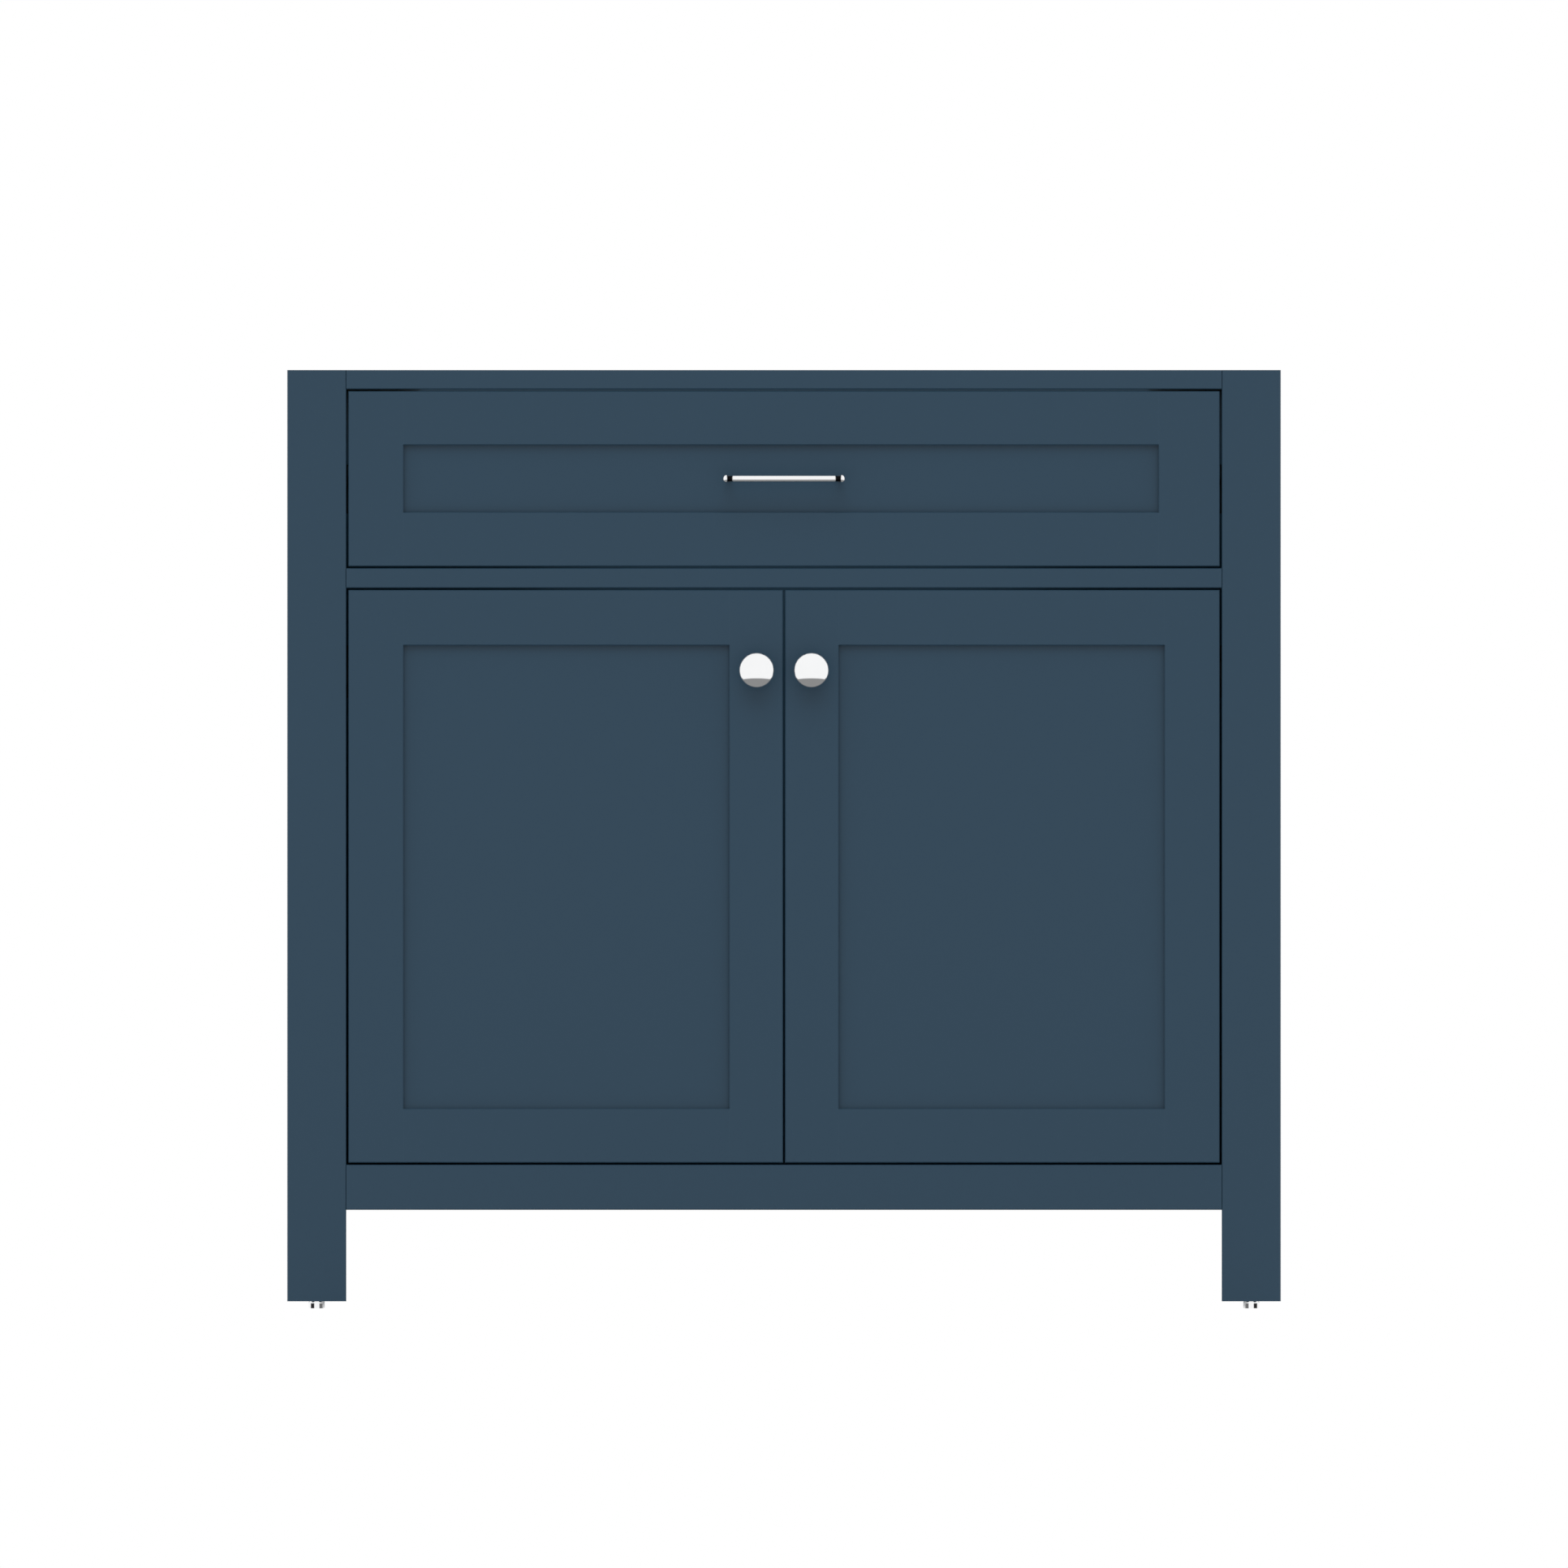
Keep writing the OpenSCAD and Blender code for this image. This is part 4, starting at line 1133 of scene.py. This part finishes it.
@dataclass
class Knob(Hardware):
    """Mushroom knob: a foot, a concave neck, a rolled rim and a low dome.

    Args:
        side: Door that it is on.
        foot_r: Radius of the foot.
        foot_t: Thickness of the foot.
        foot_ease: Radius that the foot's edge is eased to.
        neck_r: Radius of the neck at its thinnest.
        neck_start: Distance from the foot to where the neck begins.
        roll: Radius that the rim is rolled to.
        dome_rise: Rise of the dome above the rim.
        shade: How dark the shade painted on the neck is at the foot.
        shade_end: Distance from the door where that painted shade has faded out.
        screw: Screw that holds it.
        sides: Facets round it.
    """

    side: Side
    foot_r: float = 8.0 * MM
    foot_t: float = 2.0 * MM
    foot_ease: float = 0.5 * MM
    neck_r: float = 5.5 * MM
    neck_start: float = 0.4 * MM
    roll: float = 0.9 * MM
    dome_rise: float = 4.5 * MM
    shade: float = 0.35
    shade_end: float = 12.0 * MM
    screw: Screw = Screw(CrossHead(4.5 * MM, 1.8 * MM), 20.0 * MM)
    sides: int = 96

    def build(self) -> None:
        """Builds the knob and the screw that holds it."""
        node, body = f"{self.side.word}_knob", f"{self.side.word}_door"
        low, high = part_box(node)
        axis = np.array([middle(node, Axis.X), high.y, middle(node, Axis.Z)])
        profile = self.profile((high.x - low.x) / 2, high.y - low.y)
        # Shade painted on the neck, darkest at the door and gone by shade_end.
        hollow = self.shade * (1 - smooth_step(self.foot_t, self.shade_end, profile[:, 1]))
        patch = turned(profile, axis, Axis.Y.vector(-1), self.sides, hollow)
        self.maker.piece(f"{node}_turned", [patch], body, Slot.CHROME, node)
        screw = f"{node}_screw"
        seat = np.array([axis[0], self.screw.seat(screw), axis[2]])
        patches = self.screw.patches(seat, Axis.Y.vector())
        self.maker.piece(f"{screw}_cross_head", patches, body, Slot.ZINC, screw)

    def profile(self, rim_r: float, reach: float) -> Array:
        """Outline from the door face outwards.

        The neck is a quarter of an ellipse from the foot to the rim, the rim is an arc of the
        roll's radius, and the dome is an arc through the rim with the given rise.

        Args:
            rim_r: Radius of the knob.
            reach: Distance from the door face to the top of the dome.

        Returns:
            Pairs (radius, distance).
        """
        roll, rise, ease_r = self.roll, self.dome_rise, self.foot_ease
        foot = np.array([[0, 0], [self.foot_r, 0], [self.foot_r, self.foot_t - ease_r]])
        ease = arc((self.foot_r - ease_r, self.foot_t - ease_r), ease_r, (15, 90), 4)
        start = self.foot_t + self.neck_start
        under = reach - rise - 2 * roll
        a = np.radians(np.linspace(90, 0, 28))
        neck_r = rim_r - roll - (rim_r - roll - self.neck_r) * np.sin(a)
        neck = np.stack([neck_r, start + (under - start) * np.cos(a)], axis=-1)
        dome_r = (rim_r**2 + rise**2) / (2 * rise)
        sweep = math.degrees(math.asin(rim_r / dome_r))
        rim = arc((rim_r - roll, under + roll), roll, (-80, 90 - sweep), 10)
        dome = arc((0.0, reach - dome_r), dome_r, (90 - sweep + 1.6, 90), 30)
        dome[-1, 0] = 0
        return np.concatenate([foot, ease, neck, rim, dome])


# ---- Pull ----


@dataclass
class Pull(Hardware):
    """Bar pull: a round bar with a shade-painted neck and a domed cap at each end, on two posts.

    Args:
        bar_r: Radius of the bar.
        neck_r: Radius of the neck under the cap.
        neck: Span of the neck, as distances from the middle.
        taper: Length over which the bar narrows to the neck.
        dome: Radius of the cap's rounded edge.
        ease: Width of the chamfer on the cap's inner edge.
        dark_in: Where the shade painted on the neck sets in, as distances from its inner end.
        dark_out: Where that painted shade clears, as distances from its outer end.
        post_r: Radius of a post.
        flare_r: Radius of a post's foot.
        flare: Heights where the foot's cove begins and ends.
        foot_shade: How dark the shade painted on a post is at its foot.
        bar_shade: How dark that painted shade is at the bar.
        sunk: Distance from the bar's middle to the end of a post.
        spacing: Distance between the posts.
        screw: Screw that holds a post.
        bar_sides: Facets round the bar.
        post_sides: Facets round a post.
    """

    bar_r: float = 3.2 * MM
    neck_r: float = 2.5 * MM
    neck: Span = (47.2 * MM, 52.4 * MM)
    taper: float = 0.9 * MM
    dome: float = 3.6 * MM
    ease: float = 0.3 * MM
    dark_in: Span = (-0.5 * MM, 0.9 * MM)
    dark_out: Span = (-0.05 * MM, 0.1 * MM)
    post_r: float = 2.6 * MM
    flare_r: float = 2.9 * MM
    flare: Span = (0.9 * MM, 2.5 * MM)
    foot_shade: float = 0.6
    bar_shade: float = 0.92
    sunk: float = 0.2 * MM
    spacing: float = 101.6 * MM
    screw: Screw = Screw(CrossHead(4.5 * MM, 1.8 * MM), 32.0 * MM)
    bar_sides: int = 64
    post_sides: int = 48

    def build(self) -> None:
        """Builds the bar, its two posts and the screws that hold them."""
        low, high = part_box("drawer_pull_bar")
        centre = np.array((low + high) / 2)
        profile, hollow = self.bar_profile(high.x - centre[0], (high.z - low.z) / 2)
        bar = turned(profile, centre, Axis.X.vector(), self.bar_sides, hollow)
        base = node_span("drawer_pull_posts", Axis.Y)[1]
        back = self.screw.seat("drawer_pull_screws")
        posts, screws = [], []
        for number, x in enumerate((centre[0] - self.spacing / 2, centre[0] + self.spacing / 2)):
            posts.append(self.post(np.array([x, base, centre[2]]), base - centre[1]))
            seat = np.array([x, back, centre[2]])
            screws += self.screw.patches(seat, Axis.Y.vector(), 0.4 + 0.7 * number)
        piece = self.maker.piece
        piece("pull_bar_turned", [bar], "drawer", Slot.CHROME, "drawer_pull_bar")
        piece("pull_posts_turned", posts, "drawer", Slot.CHROME, "drawer_pull_posts")
        piece("pull_screw_cross_heads", screws, "drawer", Slot.ZINC, "drawer_pull_screws")

    def bar_profile(self, half: float, cap_r: float) -> tuple[Array, Array]:
        """Outline of the bar, from one cap over the bar to the other.

        Args:
            half: Half the length over the caps.
            cap_r: Radius of a cap.

        Returns:
            Pairs (radius, distance) and the shade painted on each, dark at the necks.
        """
        start, end = self.neck
        side = np.array(
            [
                [self.bar_r, 0.0],
                [self.bar_r, start],
                [self.neck_r, start + self.taper],
                [self.neck_r, end],
                [cap_r - self.ease, end],
                [cap_r, end + self.ease],
            ]
        )
        cap = arc((cap_r - self.dome, half - self.dome), self.dome, (0, 90), 14)
        outer = refined(np.concatenate([side, cap, [[0.0, half]]]), 0.5 * MM)
        mirrored = outer[:0:-1] * np.array([1.0, -1.0])
        profile = np.concatenate([mirrored, outer])
        # Shade painted on each neck, from the bar's taper to the cap.
        place = np.abs(profile[:, 1])
        rise = smooth_step(start + self.dark_in[0], start + self.dark_in[1], place)
        fall = 1 - smooth_step(end + self.dark_out[0], end + self.dark_out[1], place)
        return profile, rise * fall

    def post(self, base: Array, reach: float) -> Patch:
        """Straight stem on a quarter-round cove, with shade painted on it that darkens from its
        foot to the bar.

        Args:
            base: Middle of the foot.
            reach: Distance from the foot to the bar's middle.

        Returns:
            The post, closed at both ends.
        """
        low, high = self.flare
        a = np.radians(np.linspace(0, 90, 10))
        foot = np.array([[0, 0], [self.flare_r, 0], [self.flare_r, low]])
        cove_r = self.post_r + (self.flare_r - self.post_r) * (1 - np.sin(a))
        cove = np.stack([cove_r, low + (high - low) * (1 - np.cos(a))], axis=-1)
        stem = np.array([[self.post_r, reach - self.sunk], [0, reach - self.sunk]])
        profile = refined(np.concatenate([foot, cove, stem]), 2 * MM)
        # Painted shade, rising from the foot to the bar.
        rise = smooth_step(0.0, reach, profile[:, 1])
        hollow = self.foot_shade + (self.bar_shade - self.foot_shade) * rise
        return turned(profile, base, Axis.Y.vector(-1), self.post_sides, hollow)


# ---- Feet ----


@dataclass
class Foot(Hardware):
    """Levelling bolt on its hexagonal head, with a screw thread along the stem.

    Args:
        name: Name of its node.
        side: Side of the cabinet that it is on.
        stem_r: Outer radius of the thread.
        pitch: Distance from one turn of the thread to the next.
        thread: Depth of the thread.
        chamfer: Chamfer on the corners of the head.
        chamfer_slope: Fall of the chamfer's radius over its height.
        corner_cut: How far the corners are turned down.
        overlap: How far the stem reaches into the head.
        stripe_at: Place of a painted dark reflection stripe on the head, as a share of the corner
            radius.
        stripe_half: Half the width of the inner and of the outer stripe, as the same share.
        stripe_dark: How dark the inner and the outer stripe are.
        inner_edge: How dark the painted reflection at the inner corner is.
        inner_edge_at: Shares of the corner radius between which that sets in.
        clean_top: Heights between which the painted stripes fade out, leaving the top bright.
        head_sides: Facets round the head.
        stem_sides: Facets round the stem.
        stem_levels: Rings of points up the stem.
    """

    name: str
    side: Side
    stem_r: float = 4.0 * MM
    pitch: float = 1.25 * MM
    thread: float = 0.45 * MM
    chamfer: float = 0.5 * MM
    chamfer_slope: float = 1.1
    corner_cut: float = 0.1 * MM
    overlap: float = 0.1 * MM
    stripe_at: float = 0.52
    stripe_half: Span = (0.20, 0.21)
    stripe_dark: Span = (0.8, 0.99)
    inner_edge: float = 0.35
    inner_edge_at: Span = (0.93, 0.98)
    clean_top: Span = (4.2 * MM, 5.0 * MM)
    head_sides: int = 144
    stem_sides: int = 24
    stem_levels: int = 145

    def build(self) -> None:
        """Builds the head and the threaded stem as one piece."""
        low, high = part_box(self.name)
        centre = np.array([(low.x + high.x) / 2, (low.y + high.y) / 2, low.z])
        post_end = node_span("front_left_post", Axis.Z)[0]
        patches = [
            self.head(centre, (high.y - low.y) / 2, post_end),
            self.stem(centre, post_end - self.overlap, high.z),
        ]
        self.maker.piece(f"{self.name}_bolt", patches, f"{self.name}_screw", Slot.CHROME, self.name)

    def head(self, centre: Array, flat: float, height: float) -> Patch:
        """Hexagonal head whose radius at the angle t is flat / cos(t from the nearest flat).

        The radius is held under that of a cone at both ends, which chamfers the corners.

        Args:
            centre: Middle of its underside.
            flat: Distance from the middle to a flat.
            height: Height of the head.

        Returns:
            The closed head, with its painted dark reflections.
        """
        t = full_turn(self.head_sides)
        hexagon = flat / np.cos((t % (math.pi / 3)) - math.pi / 6)
        c = self.chamfer
        ends = np.array([0, 0, c * 0.4, c])
        level = np.concatenate([ends, np.linspace(2 * c, height - 2 * c, 15), height - ends[::-1]])
        corner_r = flat / math.cos(math.pi / 6)
        near = np.minimum(level, height - level)
        cone = corner_r - self.corner_cut - self.chamfer_slope * np.clip(c - near, 0, c)
        radius = np.minimum(hexagon[:, None], cone[None, :])
        radius[:, [0, -1]] = 0
        points = upright_grid(t, radius, level)
        # Dark reflections are painted on the head as upright stripes.
        shade = self.patina(points[..., 0] / corner_r, points[..., 2])
        return grid_patch(points + centre, shade)

    def patina(self, place: Array, level: Array) -> Array:
        """Painted dark reflections in upright stripes on the head, which fade out towards its top.

        The stripes lie at the front and back corners, where |place| is about a half, and the
        outer one is the darker. The inner corner is only faintly shaded.

        Args:
            place: X of each point, as a share of the corner radius.
            level: Height of each point on the head, in the same layout.

        Returns:
            How much dark reflection is painted on each point, from 0 to 1.
        """
        outer = (np.sign(place) * self.side.value + 1) / 2
        place = np.abs(place)
        half = self.stripe_half[0] + (self.stripe_half[1] - self.stripe_half[0]) * outer
        dark = self.stripe_dark[0] + (self.stripe_dark[1] - self.stripe_dark[0]) * outer
        stripe = dark * (1 - smooth_step(0.8, 1.2, np.abs(place - self.stripe_at) / half))
        edge = self.inner_edge * (1 - outer) * smooth_step(*self.inner_edge_at, place)
        return np.maximum(stripe, edge) * (1 - smooth_step(*self.clean_top, level))

    def stem(self, centre: Array, low: float, high: float) -> Patch:
        """Thread: radius = outer - thread * |saw wave| of the height less the turned angle.

        Args:
            centre: Middle of the head's underside.
            low: Height of the stem's lower end.
            high: Height of its upper end.

        Returns:
            The closed stem.
        """
        sides = self.stem_sides
        wound = np.append(np.arange(sides), sides) / sides
        level = np.linspace(low, high, self.stem_levels)
        phase = (level[None, :] / self.pitch - wound[:, None]) % 1.0
        radius = self.stem_r - self.thread * np.abs(2 * phase - 1)
        radius[:, [0, -1]] = self.stem_r - self.thread
        radius = np.pad(radius, ((0, 0), (1, 1)))
        level = np.concatenate([[low], level, [high]]) - centre[2]
        return grid_patch(upright_grid(full_turn(sides), radius, level) + centre)


def upright_grid(turn: Array, radius: Array, level: Array) -> Array:
    """Points (radius * cos turn, radius * sin turn, level) round an upright line.

    Args:
        turn: Angle of each row.
        radius: Radius of each point, rows by columns.
        level: Height of each column.

    Returns:
        Array of rows by columns by 3.
    """
    x, y = np.cos(turn)[:, None] * radius, np.sin(turn)[:, None] * radius
    return np.stack([x, y, np.broadcast_to(level, radius.shape)], axis=-1)


# ---- Hinges ----


@dataclass
class HingeHardware(Hardware):
    """Screws and rivet ends of the two concealed hinges of one door.

    Spans of two distances are inwards along X and back along Y, from the door's outer front
    edge, as the hinges are set out.

    Args:
        side: Door that they are on.
        ear_half: Half the height of a cup with its ears.
        cup_screw_z: Height of a cup's screws over the hinge's middle.
        wing_screw_z: Height of a wing's screws over it.
        cup_screw: Screw of a cup.
        wing_screw: Screw of a wing.
        adjuster: Head of the adjusting screw.
        rivet_r: Radius of a rivet.
        rivet_rise: Rise of its dome.
        rivet_base: Height of its straight edge.
        rivet_z: Height of the rivets over the hinge's middle.
        arm_pin: Place of the rivets.
        adjuster_at: Place of the adjusting screw.
    """

    side: Side
    ear_half: float = 29.0 * MM
    cup_screw_z: float = 22.5 * MM
    wing_screw_z: float = 17.0 * MM
    cup_screw: Screw = Screw(CrossHead(3.4 * MM, 1.0 * MM), 9.0 * MM, 1.6 * MM)
    wing_screw: Screw = Screw(CrossHead(3.8 * MM, 1.8 * MM), 15.0 * MM, 1.6 * MM)
    adjuster: CrossHead = CrossHead(3.3 * MM, 1.4 * MM)
    rivet_r: float = 2.1 * MM
    rivet_rise: float = 0.5 * MM
    rivet_base: float = 0.1 * MM
    rivet_z: float = 10.2 * MM
    arm_pin: Span = (14.0 * MM, 27.0 * MM)
    adjuster_at: Span = (1.0 * MM, 44.0 * MM)

    @property
    def inward(self) -> float:
        """Sign of X from the door's hinged edge to its middle."""
        return -float(self.side.value)

    def levels(self) -> list[float]:
        """Heights of the two hinges."""
        low, high = node_span(f"{self.side.word}_hinge_cups", Axis.Z)
        return [low + self.ear_half, high - self.ear_half]

    def build(self) -> None:
        """Builds the screws in the door, and the adjusting screws and rivets of the arms."""
        word = self.side.word
        node = f"{word}_hinge_cup_screws"
        x, back = middle(node, Axis.X), self.cup_screw.seat(node)
        screws = []
        for number, level in enumerate(self.levels()):
            for sign in (-1, 1):
                seat = np.array([x, back, level + sign * self.cup_screw_z])
                turn = 0.2 + 0.5 * number + 0.3 * sign
                screws += self.cup_screw.patches(seat, Axis.Y.vector(), turn)
        self.maker.piece(f"{node}_cross_heads", screws, f"{word}_door", Slot.ZINC, node)
        self.maker.piece(f"{word}_hinge_adjusters", self.fittings(), "cabinet", Slot.ZINC)

    def fittings(self) -> list[Patch]:
        """Adjusting screw and arm rivets of both hinges, on the cabinet's side."""
        low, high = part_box(f"{self.side.word}_door_outer_stile")
        corner = low.x if self.side is Side.LEFT else high.x

        def set_out(place: Span, level: float) -> Array:
            """Point at a place from the door's outer front edge."""
            return np.array([corner + self.inward * place[0], low.y + place[1], level])

        made = []
        for level in self.levels():
            seat = set_out(self.adjuster_at, level)
            made.append(self.adjuster.patch(seat, Axis.X.vector(self.inward), 0.6))
            for sign in (-1, 1):
                made.append(self.rivet(set_out(self.arm_pin, level + sign * self.rivet_z), sign))
        return made

    def rivet(self, seat: Array, sign: int) -> Patch:
        """Domed rivet end: a low arc turned about its upright pin, above or below the seat."""
        a = np.radians(np.linspace(0, 90, 7))
        rise = self.rivet_base + self.rivet_rise * np.sin(a)
        dome = np.stack([self.rivet_r * np.cos(a), rise], axis=-1)
        profile = np.concatenate([[[0, 0], [self.rivet_r, 0]], dome])
        profile[-1, 0] = 0
        return turned(profile, seat, Axis.Z.vector(sign), 24)


@dataclass
class WingScrews(Hardware):
    """Screws that hold every hinge's wings to its post.

    Args:
        hinges: Hinges of both doors.
        screw_depth: Depth of a screw in its post.
        wing_t: Thickness of a wing.
    """

    hinges: list[HingeHardware]
    screw_depth: float = 13.0 * MM
    wing_t: float = 3.0 * MM

    def build(self) -> None:
        """Builds the eight screws as one piece."""
        node = "hinge_arm_screws"
        low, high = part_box(node)
        y = (low.y + high.y) / 2
        patches = []
        for hinge in self.hinges:
            outer = low.x if hinge.side is Side.LEFT else high.x
            x = outer + hinge.inward * (self.screw_depth + self.wing_t)
            for number, level in enumerate(hinge.levels()):
                for sign in (-1, 1):
                    seat = np.array([x, y, level + sign * hinge.wing_screw_z])
                    turn = 0.3 + 0.6 * number + 0.4 * sign
                    patches += hinge.wing_screw.patches(seat, Axis.X.vector(hinge.inward), turn)
        self.maker.piece(f"{node}_cross_heads", patches, "cabinet", Slot.ZINC, node)


# ---- Slides ----


@dataclass
class BallCages(Hardware):
    """Rows of bearing balls in the races between a slide's members.

    Args:
        ball_r: Radius of a ball.
        step: Distance from one ball to the next.
        count: Balls in a row.
        gap: Height of the race between two members.
        race: Distance of a row from the middle member's web.
    """

    ball_r: float = 0.62 * MM
    step: float = 15.0 * MM
    count: int = 14
    gap: float = 1.3 * MM
    race: float = 3.6 * MM

    def build(self) -> None:
        """Builds the balls of both slides, which travel with the middle members."""
        low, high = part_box("slide_middle_members")
        first = (low.y + high.y) / 2 - self.step * (self.count - 1) / 2
        patches = []
        for x in (low.x + self.race, high.x - self.race):
            for z in (low.z - self.gap / 2, high.z + self.gap / 2):
                for y in first + self.step * np.arange(self.count):
                    patches.append(ball_patch(np.array([x, y, z]), self.ball_r))
        self.maker.piece("slide_bearing_balls", patches, "slide_middles", Slot.ZINC)


# ---- Stage ----


@dataclass
class Studio:
    """Pale floor, soft light and the camera.

    Args:
        groups: Shared shader groups.
        view_width: Width that the camera takes in.
        look_height: Height of the camera's axis above the floor.
        distance: Distance of the camera in front of the origin.
        sky: Radiance above the horizon line.
        ground: Radiance below it.
        soft_share: Share of the sky that matt surfaces get.
        horizon: Sine of the elevation where the sky begins.
        key: Strength of the sun-like key light.
        key_tilt: Angle in degrees that the key is tilted forward from straight above.
        key_yaw: Turn of the key about the vertical in degrees, negative to the left.
        key_spread: Angle in degrees that the key is wide.
        floor_half: Half the width of the floor.
        floor_colour: Colour of the floor, so pale that it has no edge against the sky.
    """

    groups: Groups
    view_width: float = 1.44326
    look_height: float = 0.4826
    distance: float = 3.0
    sky: float = 1.1
    ground: float = 0.305
    soft_share: float = 0.8
    horizon: Span = (-0.49, -0.45)
    key: float = 1.0
    key_tilt: float = 42.0
    key_yaw: float = -3.0
    key_spread: float = 40.0
    floor_half: float = 14.0
    floor_colour: Colour = (0.90, 0.90, 0.90)

    def build(self) -> None:
        """Sets up the floor, the light and the camera."""
        self.floor()
        self.world()
        self.key_light()
        self.camera()
        bpy.context.scene.view_settings.view_transform = "Standard"
        bpy.context.scene.view_settings.look = "None"

    def floor(self) -> None:
        """Square floor at height 0, which mirrors don't show."""
        side = np.linspace(-self.floor_half, self.floor_half, 9)
        x, y = np.meshgrid(side, side, indexing="ij")
        patch = grid_patch(np.stack([x, y, np.zeros_like(x)], axis=-1))
        mesh = bpy.data.meshes.new("studio_floor")
        mesh.from_pydata(patch.points.tolist(), [], patch.faces.tolist())
        material, sheet, shader = open_sheet("pale_floor", Roughness=0.75, Specular_IOR_Level=0.2)
        place = sheet.place("Object")
        colour = (*self.floor_colour, 1.0)
        drift = self.groups.drift.put(sheet, Place=place, Colour=colour, Amount=0.008, Size=1.5)
        sheet.feed(drift["Colour"], shader, "Base Color")
        mesh.materials.append(material)
        made = shown("studio_floor", mesh)
        made.visible_glossy = False
        made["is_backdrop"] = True

    def world(self) -> None:
        """White to the camera; to other rays bright above the horizon and grey below."""
        world = bpy.data.worlds.new("studio")
        sheet = blank_sheet(world)
        up = sheet.parts(sheet.place("Generated"))["Z"]
        level = sheet.spread(up, self.horizon, (self.ground, self.sky))
        ray = sheet.add("ShaderNodeLightPath").outputs
        soft = sheet.spread(ray["Is Diffuse Ray"], (0.0, 1.0), (1.0, self.soft_share))
        seen = sheet.blend(ray["Is Camera Ray"], sheet.times(level, soft), (1.0, 1.0, 1.0))
        back = sheet.add("ShaderNodeBackground")
        sheet.feed(seen, back, "Color")
        sheet.feed(back.outputs[0], sheet.add("ShaderNodeOutputWorld"), "Surface")
        bpy.context.scene.world = world

    def key_light(self) -> None:
        """Broad key from above, in front and a little to the left."""
        light = bpy.data.lights.new("key", "SUN")
        light.energy = self.key
        light.angle = math.radians(self.key_spread)
        made = shown("key", light)
        made.rotation_euler = (math.radians(self.key_tilt), 0.0, math.radians(self.key_yaw))
        made.visible_glossy = False

    def camera(self) -> None:
        """Square-on view of the front, without perspective."""
        data = bpy.data.cameras.new("front")
        data.type = "ORTHO"
        data.ortho_scale = self.view_width
        data.clip_start, data.clip_end = 0.01, 50.0
        made = shown("front", data)
        made.location = (0.0, -self.distance, self.look_height)
        made.rotation_euler = (math.radians(90), 0.0, 0.0)
        bpy.context.scene.camera = made


# ---- The whole cabinet ----


def clear_leftovers() -> None:
    """Removes objects that were in the file before the frame was loaded."""
    ours = {o.name for group in (frame["bodies"], frame["nodes"]) for o in group.values()}
    for item in list(bpy.data.objects):
        if item.name not in ours:
            bpy.data.objects.remove(item)


def box_list() -> list[list[float]]:
    """Lowest and highest corner of all that shows, as plain lists."""
    bpy.context.view_layer.update()
    return [list(corner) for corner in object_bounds()]


def main() -> None:
    """Builds the looks of the cabinet in order."""
    logging.basicConfig(level=logging.INFO, format="%(name)s: %(message)s")
    clear_leftovers()
    cad_box = box_list()
    finishes = Finishes()
    maker = Maker(finishes)
    Joinery(finishes).dress()
    feet = [(side, f"{end}_{side.word}_foot") for side in Side for end in ("front", "rear")]
    hinges = [HingeHardware(maker, side) for side in Side]
    hardware = [Knob(maker, side) for side in Side]
    hardware += [Pull(maker), *(Foot(maker, name, side) for side, name in feet)]
    hardware += [*hinges, WingScrews(maker, hinges), BallCages(maker)]
    for item in hardware:
        item.build()
    Studio(finishes.groups).build()
    {"cad": cad_box, "visual": box_list()}
    LOG.info("%d new pieces", len(maker.made))


if __name__ == "__main__":
    main()
